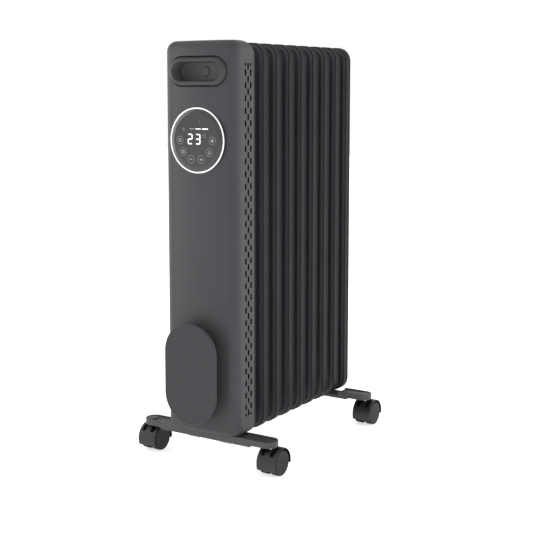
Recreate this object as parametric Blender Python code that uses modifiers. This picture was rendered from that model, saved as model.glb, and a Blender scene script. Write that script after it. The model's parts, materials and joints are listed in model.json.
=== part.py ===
"""Oil filled radiator heater on four twin-wheel casters.

Nine oil fins stand one behind the other on two foot bars. The control housing covers the
front of the first fin. It carries a recessed handle with the power button, a round display
and a plate to wind the cord on. The lower header holds the heating tubes.

Metres, +Z up, the front faces -Y. The origin is on the floor below the middle of the
heater. Every Y value below is measured from the datum, the plane of the housing's front
corners, and one empty carries all the pieces from there to the origin.
"""

import math

import bmesh
import bpy
from mathutils import Matrix, Vector

# ---------------------------------------------------------------- driving dimensions

HEIGHT = 0.654                  # floor to the top of the housing

# Oil fins
FIN_COUNT = 9
FIN_PITCH = 0.0377
FIN_WIDTH = 0.1297
FIN_THICKNESS = 0.0158          # over the folded rim
FIN_CORNER = 0.0234
FIN_CHAMFER = 0.0022
RIM_WIDTH = 0.0075
WEB_THICKNESS = 0.0024
PANEL_THICKNESS = 0.0100        # the raised oil channels
PANEL_MARGIN = 0.0123           # from the rim's inner edge to the channels
CHANNEL_GAP = 0.0110            # width of the web between two channels
CHANNEL_WIDTH = 0.0227
HEADER_RISE = 0.0435            # header axis above the fin's lower edge
HEADER_ROOM = 0.0272            # header axis to the end of the web between two channels
NECK_RADIUS = 0.0170
NECK_BORE = 0.0130
NECK_FRONT_REACH = 0.0130       # first fin's necks, forward of the fin's middle
NECK_PROUD = 0.0002             # last fin's necks, behind its channels
CAP_THICKNESS = 0.0012
PLUG_RADIUS = 0.0050
PLUG_SHOULDER = 0.0015
PLUG_HEAD_THICKNESS = 0.0007
PLUG_REACH = 0.0040

# Housing
HOUSING_DEPTH = 0.0500
HOUSING_WALL = 0.0016
HOUSING_FIT = 0.0004            # housing wall to the first fin
POCKET_GAP = 0.0003             # housing wall to the fin, where its rounded top is cut for it
FIN_LAP = 0.0084                # how far the housing laps over the first fin
CROWN = 0.0043                  # bulge of the front face
FRONT_CORNER = 0.0180
TOP_ROUND = 0.0172
BOTTOM_ROUND = 0.0080
REAR_TOP_ROUND = 0.0220
REAR_BOTTOM_ROUND = 0.0150

# Side vents
VENT_WIDTH = 0.0042
VENT_HEIGHT = 0.0093
VENT_SHORT = 0.0040
VENT_PITCH = 0.01885
VENT_BOTTOM = 0.0830
VENT_TOP_DROP = 0.0340
VENT_COLUMNS = (0.0272, 0.0342, 0.0412)

# Handle
HANDLE_DROP = 0.0463            # from the top of the housing to the handle's middle
BEZEL_LENGTH = 0.1024
BEZEL_HEIGHT = 0.0438
BEZEL_FRONT = -0.0065
BEZEL_CHAMFER = 0.0030
BEZEL_GROOVE = 0.0012
GRIP_LENGTH = 0.0880
GRIP_HEIGHT = 0.0290
GRIP_BACK = 0.0200
CUP_WALL = 0.0020
CUP_LIP = 0.0028                # how far the lip reaches behind the housing wall
CUP_LIP_Y = 0.0032
CUP_LIP_THICKNESS = 0.0016

# Power button
BUTTON_RADIUS = 0.0070
BUTTON_TRAVEL = 0.0015
BUTTON_COLLAR = 0.0014
BUTTON_COLLAR_THICKNESS = 0.0010
BUTTON_EDGE = 0.0004            # chamfer of its front edge
BUTTON_SHANK = 0.0050           # radius behind the collar
BUTTON_TAIL = 0.0010            # how far the shank reaches behind the collar
SWITCH_SIZE = (0.0140, 0.0084, 0.0140)

# Display
DISPLAY_DROP = 0.1489
RING_RADIUS = 0.0497
RING_BAND = 0.0028
RING_FLANGE = 0.0030
RING_FLANGE_Y = 0.0030
RING_FLANGE_THICKNESS = 0.0014
LENS_PROUD = 0.0020             # lens face in front of the ring
LENS_EDGE = 0.0060
LENS_BACK = 0.0005
BOARD_THICKNESS = 0.0016
DISPLAY_BOARD_RADIUS = 0.0420
DISPLAY_BOARD_Y = 0.0058

# Cord winder
PLATE_WIDTH = 0.0944
PLATE_HEIGHT = 0.1573
PLATE_THICKNESS = 0.0048
PLATE_FRONT = -0.0275
PLATE_LEVEL = 0.1514
PLATE_CHAMFER = 0.0010
POST_WIDTH = 0.0440
POST_HEIGHT = 0.0920
POST_WALL = 0.0030
SPIGOT_LENGTH = 0.0030
WINDER_SCREW_SPREAD = 0.0280
GLAND_LEVEL = 0.0890
GLAND_RADIUS = 0.0066
GLAND_FLANGE = 0.0014
GLAND_FLANGE_THICKNESS = 0.0020
GLAND_BORE = 0.0036
GLAND_REACH = 0.0100
GLAND_TAIL = 0.0050
GLAND_TAPER = 0.0010            # the bush's nose is this much thinner

# Mounting plate and what it carries
SHIELD_THICKNESS = 0.0012
SHIELD_GAP = 0.0011             # to the first fin's rim
SHIELD_MARGIN = 0.0015
SHIELD_TOP_DROP = 0.0120
SHIELD_CORNER = 0.0180
GASKET_THICKNESS = 0.0010
FLANGE_RADIUS = 0.0240
FLANGE_THICKNESS = 0.0040
TUBE_RADIUS = 0.0032
TUBE_SPREAD = 0.0045            # of the four legs, from the header axis, in X and in Z
TUBE_PROUD = 0.0034             # in front of the flange
TUBE_END_GAP = 0.0100
PIN_RADIUS = 0.0012
PIN_LENGTH = 0.0080
POWER_BOARD_SIZE = (0.0900, BOARD_THICKNESS, 0.1200)
POWER_BOARD_PLACE = (0.0, 0.0210, 0.3600)
SENSOR_RADIUS = 0.0025
SENSOR_LENGTH = 0.0180
SENSOR_PLACE = (0.0520, 0.0220, 0.0900)
CUTOUT_RADIUS = 0.0080
CUTOUT_LENGTH = 0.0100
CUTOUT_LEVEL = 0.2600
TIP_SWITCH_SIZE = (0.0160, 0.0140, 0.0180)
TIP_SWITCH_PLACE = (-0.0400, 0.1600)
BRACKET_WIDTH = 0.0900
BRACKET_THICKNESS = 0.0015
BRACKET_DEPTH = 0.0250
BRACKET_HEIGHT = 0.0150

# Screws
SCREW_RADIUS = 0.0018
SCREW_HEAD_RADIUS = 0.0030
SCREW_HEAD_THICKNESS = 0.0022
SCREW_CLEARANCE = 0.0004
WING_BOLT_RADIUS = 0.0025
WING_HUB_RADIUS = 0.0050
WING_HUB_HEIGHT = 0.0045
WING_SPAN = 0.0220
WING_THICKNESS = 0.0020
WING_HEIGHT = 0.0070
WING_BOLT_X = 0.0300
WING_BOLT_HEAD_ROOM = 0.0040    # how far the bolt stands above its bracket
WING_DROP = 0.0010              # the wing starts this far below the hub's upper end

# Foot bars
BAR_REACH = 0.05665             # beyond the housing's side
BAR_WIDTH = 0.0300
BAR_END_HEIGHT = 0.0093
BAR_DROP = 0.0027               # the middle hangs lower than the ends
BAR_STEP_INSET = 0.0405         # where that step is, from the bar's end
BAR_STEP_SLOPE = 0.0050
BAR_LIP = 0.0028
BAR_TROUGH = 0.0022
BAR_CENTRE_THICKNESS = 0.0050
BAR_TO_FIN = 0.0016
PAD_RADIUS = 0.0095
PAD_HEIGHT = 0.0016
DIMPLE_RADIUS = 0.0016
DIMPLE_INSET = 0.0265
SOCKET_CAP = 0.0017
PAD_ROOT = 0.0010               # how deep the pad is sunk in the trough's floor
BAR_TO_HOUSING = 0.0007         # foot bar's top to the housing's underside
FIN_TO_BAR = 0.0005             # fins to the rear bar's middle
U_BOLT_RADIUS = 0.0025
U_BOLT_PROJECTION = 0.0100
U_BOLT_GAP = 0.0005             # wire to the header's neck

# Casters
WHEEL_RADIUS = 0.01975
WHEEL_WIDTH = 0.0111
WHEEL_EDGE = 0.0020
WHEEL_BORE_DEPTH = 0.0090
AXLE_RADIUS = 0.0022
HOOD_GAP = 0.0025               # wheel tread to the hood
HOOD_THICKNESS = 0.0012
HOOD_WIDTH = 0.0330
HOOD_SIDES = 24
BAR_TO_HOOD = 0.0018            # bar end's underside to the hood
WEB_HALF = 0.0045               # half the middle web between the wheels
HOOD_FRONT_LEVEL = 0.0100
HOOD_REAR_LEVEL = 0.0153
HOOD_WINDOW_LEVEL = 0.0330
HOOD_WINDOW_HALF = 0.0115
CASTER_TRAIL = 0.0065
STEM_RADIUS = 0.0030
STEM_INSET = 0.0098             # stem axis from the bar's end
STEM_FOOT = 0.0262

GAP = 0.0003                    # between touching pieces
RUNNING = 0.0003                # round a shaft that turns
OVERSHOOT = 0.0100              # how far a cutter reaches past what it cuts
SHARP_ANGLE = math.radians(30)  # flatter edges are shaded smooth

# ---------------------------------------------------------------- derived dimensions

HOUSING_HALF = FIN_WIDTH / 2 + HOUSING_FIT + HOUSING_WALL
FIN_FRONT = HOUSING_DEPTH - FIN_LAP
FIRST_FIN = FIN_FRONT + FIN_THICKNESS / 2
LAST_FIN = FIRST_FIN + (FIN_COUNT - 1) * FIN_PITCH
NECK_REAR_REACH = PANEL_THICKNESS / 2 + NECK_PROUD
FIN_REAR = LAST_FIN + FIN_THICKNESS / 2

HOOD_RADIUS = WHEEL_RADIUS + HOOD_GAP + HOOD_THICKNESS
BAR_END_UNDER = WHEEL_RADIUS + HOOD_RADIUS + BAR_TO_HOOD
BAR_TOP = BAR_END_UNDER + BAR_END_HEIGHT
BAR_UNDER = BAR_END_UNDER - BAR_DROP
BAR_FLOOR = BAR_TOP - BAR_TROUGH
BAR_CENTRE_TOP = BAR_UNDER + BAR_CENTRE_THICKNESS
BAR_HALF_LENGTH = HOUSING_HALF + BAR_REACH
FRONT_BAR = FIN_FRONT - BAR_TO_FIN - BAR_WIDTH / 2
REAR_BAR = LAST_FIN - FIN_PITCH / 2
STEM_X = BAR_HALF_LENGTH - STEM_INSET

FIN_BOTTOM = BAR_CENTRE_TOP + FIN_TO_BAR
FIN_TOP = HEIGHT - HOUSING_WALL - HOUSING_FIT
HOUSING_BOTTOM = BAR_TOP + BAR_TO_HOUSING
LOWER_HEADER = FIN_BOTTOM + HEADER_RISE
UPPER_HEADER = FIN_TOP - HEADER_RISE

SHIELD_REAR = FIN_FRONT - SHIELD_GAP
SHIELD_FRONT = SHIELD_REAR - SHIELD_THICKNESS
SHIELD_BOTTOM = HOUSING_BOTTOM + HOUSING_WALL + GAP + BRACKET_THICKNESS + GAP
NECK_FRONT = FIRST_FIN - NECK_FRONT_REACH
GASKET_FRONT = NECK_FRONT - GAP - GASKET_THICKNESS
FLANGE_FRONT = GASKET_FRONT - GAP - FLANGE_THICKNESS

CROWN_HALF = HOUSING_HALF - FRONT_CORNER
HANDLE_LEVEL = HEIGHT - HANDLE_DROP
DISPLAY_LEVEL = HEIGHT - DISPLAY_DROP
RING_FRONT = -CROWN
LENS_FRONT = RING_FRONT - LENS_PROUD
PLATE_BACK = PLATE_FRONT + PLATE_THICKNESS
POST_FRONT = PLATE_BACK + GAP
POST_BACK = -CROWN - GAP
BUTTON_FRONT = GRIP_BACK - BUTTON_TRAVEL
BUTTON_BACK = GRIP_BACK + CUP_WALL + GAP + BUTTON_COLLAR_THICKNESS + BUTTON_TAIL
SWITCH_FRONT = BUTTON_BACK + BUTTON_TRAVEL + GAP

Y_SHIFT = -(PLATE_FRONT + FIN_REAR) / 2

# ---------------------------------------------------------------- scene and materials


def clear_scene():
    for thing in list(bpy.data.objects):
        bpy.data.objects.remove(thing, do_unlink=True)


def make_collection(name):
    collection = bpy.data.collections.new(name)
    bpy.context.scene.collection.children.link(collection)
    return collection


def make_material(name, color, roughness, metallic=0.0):
    material = bpy.data.materials.new(name)
    material.use_nodes = True
    shader = material.node_tree.nodes["Principled BSDF"]
    shader.inputs["Base Color"].default_value = (*color, 1.0)
    shader.inputs["Roughness"].default_value = roughness
    shader.inputs["Metallic"].default_value = metallic
    return material


# ---------------------------------------------------------------- mesh helpers


def mesh_from(bm, name):
    bmesh.ops.remove_doubles(bm, verts=bm.verts, dist=1e-6)
    bmesh.ops.dissolve_degenerate(bm, edges=bm.edges, dist=1e-6)
    bmesh.ops.recalc_face_normals(bm, faces=bm.faces)
    mesh = bpy.data.meshes.new(name)
    bm.to_mesh(mesh)
    bm.free()
    mesh.shade_smooth()
    mesh.set_sharp_from_angle(angle=SHARP_ANGLE)
    return mesh


def add_box(bm, low, high):
    """Add a closed box between two opposite corners."""
    size = Vector(high) - Vector(low)
    middle = (Vector(high) + Vector(low)) / 2
    matrix = Matrix.Translation(middle) @ Matrix.Diagonal((*size, 1.0))
    bmesh.ops.create_cube(bm, size=1.0, matrix=matrix)


def box_bmesh(low, high):
    bm = bmesh.new()
    add_box(bm, low, high)
    return bm


def round_edges(bm, axis, radius, segments, wanted=lambda middle: True):
    """Round the edges that run along one axis and whose middles are wanted."""
    along = []
    for edge in bm.edges:
        direction = (edge.verts[1].co - edge.verts[0].co).normalized()
        middle = (edge.verts[1].co + edge.verts[0].co) / 2
        if abs(direction[axis]) > 0.999 and wanted(middle):
            along.append(edge)
    bmesh.ops.bevel(bm, geom=along, offset=radius, offset_type="OFFSET",
                    segments=segments, profile=0.5, affect="EDGES", clamp_overlap=True)


def rounded_plate(low, high, axis, radius, segments):
    """A box with its four edges along one axis rounded."""
    bm = box_bmesh(low, high)
    round_edges(bm, axis, radius, segments)
    bmesh.ops.remove_doubles(bm, verts=bm.verts, dist=1e-6)
    return bm


def stadium(middle_x, middle_z, length, height, front, back, segments=6):
    """A block with full round ends, lying in the XZ plane between two Y values."""
    low = (middle_x - length / 2, front, middle_z - height / 2)
    high = (middle_x + length / 2, back, middle_z + height / 2)
    return rounded_plate(low, high, 1, min(length, height) / 2, segments)


def chamfer_face_edge(bm, normal, offset, segments=1):
    """Chamfer the outline of the face that looks along a normal."""
    outline = set()
    for face in bm.faces:
        if face.normal.dot(Vector(normal)) > 0.999:
            outline.update(face.edges)
    bmesh.ops.bevel(bm, geom=list(outline), offset=offset, offset_type="OFFSET",
                    segments=segments, profile=0.5, affect="EDGES", clamp_overlap=True)


def add_rod(bm, start, end, radius, segments):
    """Add a closed cylinder between two points that differ along one axis."""
    start = Vector(start)
    end = Vector(end)
    direction = end - start
    turn = Vector((0.0, 0.0, 1.0)).rotation_difference(direction.normalized())
    matrix = Matrix.Translation((start + end) / 2) @ turn.to_matrix().to_4x4()
    bmesh.ops.create_cone(bm, cap_ends=True, segments=segments, radius1=radius,
                          radius2=radius, depth=direction.length, matrix=matrix)


def rod_bmesh(start, end, radius, segments):
    bm = bmesh.new()
    add_rod(bm, start, end, radius, segments)
    return bm


# ---------------------------------------------------------------- object helpers


class Builder:
    """Holds the collections, the datum empty and the materials, and makes objects."""

    def __init__(self):
        self.parts = make_collection("oil_radiator_heater")
        self.cutters = make_collection("cutters")
        self.datum = self.empty("datum", (0.0, Y_SHIFT, 0.0), None)
        self.paint = make_material("charcoal_paint", (0.090, 0.088, 0.098), 0.45, 0.2)
        self.plastic = make_material("charcoal_plastic", (0.085, 0.083, 0.092), 0.5)
        self.black = make_material("black_plastic", (0.020, 0.020, 0.023), 0.5)
        self.steel = make_material("zinc_steel", (0.62, 0.62, 0.64), 0.35, 1.0)
        self.chrome = make_material("bright_ring", (0.85, 0.85, 0.87), 0.15, 1.0)
        self.lens = make_material("dark_lens", (0.030, 0.030, 0.034), 0.12)
        self.board = make_material("circuit_board", (0.03, 0.16, 0.07), 0.5)
        self.rubber = make_material("rubber", (0.018, 0.018, 0.018), 0.8)
        self.heater = make_material("heater_tube", (0.45, 0.42, 0.38), 0.4, 1.0)

    def empty(self, name, location, parent):
        thing = bpy.data.objects.new(name, None)
        thing.location = location
        thing.parent = parent
        self.parts.objects.link(thing)
        return thing

    def add(self, name, mesh, material, parent=None, location=(0.0, 0.0, 0.0), turn=None):
        thing = bpy.data.objects.new(name, mesh)
        thing.parent = parent or self.datum
        thing.location = location
        if turn:
            thing.rotation_euler = turn
        if not mesh.materials:
            mesh.materials.append(material)
        self.parts.objects.link(thing)
        return thing

    def cutter(self, name, bm, parent=None, location=(0.0, 0.0, 0.0)):
        thing = bpy.data.objects.new(name, mesh_from(bm, name))
        thing.parent = parent or self.datum
        thing.location = location
        thing.hide_render = True
        thing.display_type = "WIRE"
        self.cutters.objects.link(thing)
        return thing

    def combine(self, thing, operation, other):
        modifier = thing.modifiers.new(f"{operation.lower()}_{other.name}", "BOOLEAN")
        modifier.operation = operation
        modifier.solver = "EXACT"
        modifier.object = other

    def cut(self, thing, name, bm, parent=None):
        self.combine(thing, "DIFFERENCE", self.cutter(name, bm, parent))

    def join(self, thing, name, bm, parent=None):
        self.combine(thing, "UNION", self.cutter(name, bm, parent))

    def turned(self, name, outline, material, steps, parent=None,
               location=(0.0, 0.0, 0.0), turn=None):
        """A turned piece from a closed or axis-to-axis outline of (radius, height)."""
        mesh = bpy.data.meshes.new(name)
        points = [(radius, 0.0, height) for radius, height in outline]
        edges = [(i, i + 1) for i in range(len(points) - 1)]
        if outline[0][0] > 0.0:
            edges.append((len(points) - 1, 0))
        mesh.from_pydata(points, edges, [])
        thing = self.add(name, mesh, material, parent, location, turn)
        screw = thing.modifiers.new("turn", "SCREW")
        screw.steps = steps
        screw.render_steps = steps
        screw.use_merge_vertices = True
        screw.merge_threshold = 0.00001
        screw.use_smooth_shade = True
        return thing


FACING_BACK = (-math.pi / 2, 0.0, 0.0)      # a turned piece's height runs along +Y


# ---------------------------------------------------------------- fins and headers


def fin_blank(y, grow=0.0, segments=3):
    """The outline of a fin, as a plain block in the middle of a place along Y."""
    half = FIN_WIDTH / 2 + grow
    low = (-half, y - FIN_THICKNESS / 2 - grow, FIN_BOTTOM - grow)
    high = (half, y + FIN_THICKNESS / 2 + grow, FIN_TOP + grow)
    return rounded_plate(low, high, 1, FIN_CORNER + grow, segments)


def fin_body():
    """The folded rim round the thin web, with the fin's middle at Y = 0."""
    bm = fin_blank(0.0)
    for side in (-1.0, 1.0):
        chamfer_face_edge(bm, (0.0, side, 0.0), FIN_CHAMFER)
        face = max(bm.faces, key=lambda f: f.normal.y * side * f.calc_area())
        bmesh.ops.inset_region(bm, faces=[face], thickness=RIM_WIDTH - FIN_CHAMFER,
                               use_even_offset=True)
        face = max(bm.faces, key=lambda f: f.normal.y * side * f.calc_area())
        sunk = bmesh.ops.extrude_face_region(bm, geom=[face])
        depth = (FIN_THICKNESS - WEB_THICKNESS) / 2
        for item in sunk["geom"]:
            if isinstance(item, bmesh.types.BMVert):
                item.co.y -= side * depth
        bmesh.ops.delete(bm, geom=[face], context="FACES_ONLY")
    return bm


def channel_panel():
    """The raised oil channels as one panel, before the web between them is cut."""
    half = FIN_WIDTH / 2 - RIM_WIDTH - PANEL_MARGIN
    low_z = FIN_BOTTOM + RIM_WIDTH + PANEL_MARGIN / 2
    high_z = FIN_TOP - RIM_WIDTH - PANEL_MARGIN / 2
    low = (-half, -PANEL_THICKNESS / 2, low_z)
    high = (half, PANEL_THICKNESS / 2, high_z)
    return rounded_plate(low, high, 1, PANEL_MARGIN, 2)


def channel_windows(side):
    """Pockets in one face of the panel, between the channels, down to the web."""
    bm = bmesh.new()
    centre = (CHANNEL_WIDTH + CHANNEL_GAP) / 2
    for x in (-centre, centre):
        ends = (side * WEB_THICKNESS / 2, side * OVERSHOOT)
        low = (x - CHANNEL_GAP / 2, min(ends), LOWER_HEADER + HEADER_ROOM)
        high = (x + CHANNEL_GAP / 2, max(ends), UPPER_HEADER - HEADER_ROOM)
        add_box(bm, low, high)
    return bm


def header_rods(front, back, radius, segments=12):
    bm = bmesh.new()
    for level in (LOWER_HEADER, UPPER_HEADER):
        add_rod(bm, (0.0, front, level), (0.0, back, level), radius, segments)
    return bm


def build_fins(builder):
    """Nine fins; the necks of the first and the last one end in closures."""
    half_pitch = (FIN_PITCH - GAP) / 2
    for number in range(FIN_COUNT):
        name = f"fin_{number + 1}"
        front = -NECK_FRONT_REACH if number == 0 else -half_pitch
        back = NECK_REAR_REACH if number == FIN_COUNT - 1 else half_pitch
        y = FIRST_FIN + number * FIN_PITCH
        spot = builder.empty(f"{name}_place", (0.0, y, 0.0), builder.datum)
        fin = builder.add(name, mesh_from(fin_body(), name), builder.paint, spot)
        builder.join(fin, f"{name}_panel", channel_panel(), spot)
        builder.cut(fin, f"{name}_windows_front", channel_windows(-1.0), spot)
        builder.cut(fin, f"{name}_windows_back", channel_windows(1.0), spot)
        necks = header_rods(front, back, NECK_RADIUS)
        builder.join(fin, f"{name}_necks", necks, spot)
        bores = header_rods(front - OVERSHOOT, back + OVERSHOOT, NECK_BORE)
        builder.cut(fin, f"{name}_bores", bores, spot)


def build_header_closures(builder):
    """Caps on the upper front neck and on both rear necks, and the oil filler plug."""
    radius = NECK_RADIUS - GAP
    front_cap = NECK_FRONT - GAP - CAP_THICKNESS
    rear_cap = LAST_FIN + NECK_REAR_REACH + GAP
    caps = {}
    for name, start, level in (("upper_front_cap", front_cap, UPPER_HEADER),
                               ("upper_rear_cap", rear_cap, UPPER_HEADER),
                               ("lower_rear_cap", rear_cap, LOWER_HEADER)):
        disc = rod_bmesh((0.0, start, level), (0.0, start + CAP_THICKNESS, level), radius, 16)
        caps[name] = builder.add(name, mesh_from(disc, name), builder.paint)
    hole = rod_bmesh((0.0, rear_cap - OVERSHOOT, UPPER_HEADER),
                     (0.0, rear_cap + OVERSHOOT, UPPER_HEADER), PLUG_RADIUS + GAP, 12)
    builder.cut(caps["upper_rear_cap"], "filler_hole", hole)
    shoulder = CAP_THICKNESS + GAP
    outline = [
        (0.0, shoulder + PLUG_HEAD_THICKNESS),
        (PLUG_RADIUS + PLUG_SHOULDER, shoulder + PLUG_HEAD_THICKNESS),
        (PLUG_RADIUS + PLUG_SHOULDER, shoulder),
        (PLUG_RADIUS, shoulder),
        (PLUG_RADIUS, -PLUG_REACH),
        (0.0, -PLUG_REACH),
    ]
    place = (0.0, rear_cap, UPPER_HEADER)
    builder.turned("oil_filler_plug", outline, builder.steel, 12, None, place, FACING_BACK)


# ---------------------------------------------------------------- housing


def crown_at(x):
    """How far the front face stands in front of the datum at a place across it."""
    if abs(x) >= CROWN_HALF:
        return 0.0
    return CROWN * (1.0 - (x / CROWN_HALF) ** 2)


def housing_form(inset, rear):
    """The housing's outer form, or with an inset the hollow inside it."""
    half = HOUSING_HALF - inset
    low = (-half, inset, HOUSING_BOTTOM + inset)
    high = (half, rear, HEIGHT - inset)
    bm = box_bmesh(low, high)
    front = inset + 1e-5
    round_edges(bm, 2, FRONT_CORNER - inset, 4, lambda middle: middle.y < front)
    for step in range(-3, 4):
        geometry = bm.verts[:] + bm.edges[:] + bm.faces[:]
        place = (step * CROWN_HALF / 4, 0.0, 0.0)
        bmesh.ops.bisect_plane(bm, geom=geometry, plane_co=place, plane_no=(1.0, 0.0, 0.0))
    for vert in bm.verts:
        if vert.co.y < front:
            vert.co.y -= crown_at(vert.co.x)
    for level, radius in ((HEIGHT - inset, TOP_ROUND - inset),
                          (HOUSING_BOTTOM + inset, BOTTOM_ROUND - inset)):
        rim = [edge for edge in bm.edges
               if all(abs(vert.co.z - level) < 1e-5 for vert in edge.verts)
               and len(edge.link_faces) == 2
               and any(abs(face.normal.z) < 0.5 for face in edge.link_faces)
               and not all(vert.co.y > rear - 1e-5 for vert in edge.verts)]
        bmesh.ops.bevel(bm, geom=rim, offset=radius, offset_type="OFFSET", segments=4,
                        profile=0.5, affect="EDGES", clamp_overlap=True)
    return bm


def side_profile():
    """What the housing keeps, seen from the side: rounded at its two rear corners."""
    reach = HOUSING_HALF + OVERSHOOT
    low = (-reach, -CROWN - OVERSHOOT, HOUSING_BOTTOM - GAP)
    high = (reach, HOUSING_DEPTH, HEIGHT + GAP)
    bm = box_bmesh(low, high)
    rear = HOUSING_DEPTH - 1e-5
    middle_level = HEIGHT / 2
    round_edges(bm, 0, REAR_TOP_ROUND, 5,
                lambda middle: middle.y > rear and middle.z > middle_level)
    round_edges(bm, 0, REAR_BOTTOM_ROUND, 4,
                lambda middle: middle.y > rear and middle.z < middle_level)
    return bm


def hollow_profile():
    """What the hollow keeps, seen from the side: it follows the rounded rear top corner."""
    reach = HOUSING_HALF + OVERSHOOT
    shoulder = HEIGHT - REAR_TOP_ROUND
    bm = box_bmesh((-reach, -CROWN - OVERSHOOT, HOUSING_BOTTOM - GAP),
                   (reach, HOUSING_DEPTH - HOUSING_WALL, HEIGHT - HOUSING_WALL))
    rear = HOUSING_DEPTH - HOUSING_WALL - 1e-5
    round_edges(bm, 0, REAR_TOP_ROUND - HOUSING_WALL, 5,
                lambda middle: middle.y > rear and middle.z > shoulder)
    return bm


def vent_slots():
    """Three columns of slots on each side; each box cuts both sides at once."""
    top = HEIGHT - VENT_TOP_DROP
    rows = round((top - VENT_BOTTOM - VENT_HEIGHT) / VENT_PITCH)
    pitch = (top - VENT_BOTTOM - VENT_HEIGHT) / rows
    reach = HOUSING_HALF + OVERSHOOT
    bm = bmesh.new()
    for column, y in enumerate(VENT_COLUMNS):
        outer = column != 1
        spans = []
        for row in range(rows if outer else rows + 1):
            start = VENT_BOTTOM + row * pitch + (pitch / 2 if outer else 0.0)
            spans.append((start, start + VENT_HEIGHT))
        if outer:
            spans.append((VENT_BOTTOM, VENT_BOTTOM + VENT_SHORT))
            spans.append((top - VENT_SHORT, top))
        for start, end in spans:
            low = (-reach, y - VENT_WIDTH / 2, start)
            high = (reach, y + VENT_WIDTH / 2, end)
            add_box(bm, low, high)
    return bm


def build_housing(builder):
    mesh = mesh_from(housing_form(0.0, HOUSING_DEPTH + OVERSHOOT), "housing")
    housing = builder.add("housing", mesh, builder.paint)
    builder.combine(housing, "INTERSECT", builder.cutter("side_profile", side_profile()))
    hollow = builder.cutter("housing_hollow", housing_form(HOUSING_WALL, HOUSING_DEPTH))
    builder.combine(hollow, "INTERSECT", builder.cutter("hollow_profile", hollow_profile()))
    builder.combine(housing, "DIFFERENCE", hollow)
    mouth = HOUSING_HALF - HOUSING_WALL
    builder.cut(housing, "housing_mouth",
                box_bmesh((-mouth, HOUSING_DEPTH - REAR_TOP_ROUND, HOUSING_BOTTOM + BOTTOM_ROUND),
                          (mouth, HOUSING_DEPTH + OVERSHOOT, HEIGHT - REAR_TOP_ROUND)))
    builder.cut(housing, "fin_pocket", fin_blank(FIRST_FIN, POCKET_GAP))

    grown = 2 * BEZEL_GROOVE
    front = -CROWN - OVERSHOOT
    builder.cut(housing, "handle_opening",
                stadium(0.0, HANDLE_LEVEL, BEZEL_LENGTH + grown, BEZEL_HEIGHT + grown,
                        front, CUP_LIP_Y + OVERSHOOT))
    holes = bmesh.new()
    add_rod(holes, (0.0, front, DISPLAY_LEVEL), (0.0, OVERSHOOT, DISPLAY_LEVEL),
            RING_RADIUS + GAP, 32)
    add_rod(holes, (0.0, front, GLAND_LEVEL), (0.0, OVERSHOOT, GLAND_LEVEL),
            GLAND_RADIUS + GAP, 12)
    for level in winder_screw_levels():
        add_rod(holes, (0.0, front, level), (0.0, OVERSHOOT, level),
                SCREW_RADIUS + SCREW_CLEARANCE, 8)
    for x in (-WING_BOLT_X, WING_BOLT_X):
        add_rod(holes, (x, FRONT_BAR, HOUSING_BOTTOM - OVERSHOOT),
                (x, FRONT_BAR, HOUSING_BOTTOM + HOUSING_WALL + GAP),
                WING_BOLT_RADIUS + SCREW_CLEARANCE, 10)
    builder.cut(housing, "housing_holes", holes)
    builder.cut(housing, "housing_vents", vent_slots())


# ---------------------------------------------------------------- handle and button


def build_handle(builder):
    """The cup: bezel in front, lip behind the housing wall, tub and grip hollow."""
    bezel = stadium(0.0, HANDLE_LEVEL, BEZEL_LENGTH, BEZEL_HEIGHT, BEZEL_FRONT,
                    CUP_LIP_Y + CUP_LIP_THICKNESS / 2)
    chamfer_face_edge(bezel, (0.0, -1.0, 0.0), BEZEL_CHAMFER, 2)
    cup = builder.add("handle_cup", mesh_from(bezel, "handle_cup"), builder.plastic)
    lip = 2 * CUP_LIP
    builder.join(cup, "handle_lip",
                 stadium(0.0, HANDLE_LEVEL, BEZEL_LENGTH + lip, BEZEL_HEIGHT + lip,
                         CUP_LIP_Y, CUP_LIP_Y + CUP_LIP_THICKNESS))
    wall = 2 * CUP_WALL
    builder.join(cup, "handle_tub",
                 stadium(0.0, HANDLE_LEVEL, GRIP_LENGTH + wall, GRIP_HEIGHT + wall,
                         0.0, GRIP_BACK + CUP_WALL))
    builder.cut(cup, "handle_grip",
                stadium(0.0, HANDLE_LEVEL, GRIP_LENGTH, GRIP_HEIGHT,
                        BEZEL_FRONT - OVERSHOOT, GRIP_BACK))
    hole = rod_bmesh((0.0, GRIP_BACK - OVERSHOOT / 2, HANDLE_LEVEL),
                     (0.0, GRIP_BACK + OVERSHOOT, HANDLE_LEVEL), BUTTON_RADIUS + GAP, 24)
    builder.cut(cup, "button_hole", hole)


def build_power_button(builder):
    """A round push button through the cup's back wall, kept in by a collar behind it."""
    collar = GRIP_BACK + CUP_WALL + GAP - BUTTON_FRONT
    end = BUTTON_BACK - BUTTON_FRONT
    outline = [
        (0.0, end),
        (BUTTON_SHANK, end),
        (BUTTON_SHANK, collar + BUTTON_COLLAR_THICKNESS),
        (BUTTON_RADIUS + BUTTON_COLLAR, collar + BUTTON_COLLAR_THICKNESS),
        (BUTTON_RADIUS + BUTTON_COLLAR, collar),
        (BUTTON_RADIUS, collar),
        (BUTTON_RADIUS, BUTTON_EDGE),
        (BUTTON_RADIUS - BUTTON_EDGE, 0.0),
        (0.0, 0.0),
    ]
    place = (0.0, BUTTON_FRONT, HANDLE_LEVEL)
    builder.turned("power_button", outline, builder.plastic, 20, None, place, FACING_BACK)
    width, depth, height = SWITCH_SIZE
    low = (-width / 2, SWITCH_FRONT, HANDLE_LEVEL - height / 2)
    high = (width / 2, SWITCH_FRONT + depth, HANDLE_LEVEL + height / 2)
    builder.add("power_switch", mesh_from(box_bmesh(low, high), "power_switch"),
                builder.black)


# ---------------------------------------------------------------- display


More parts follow.
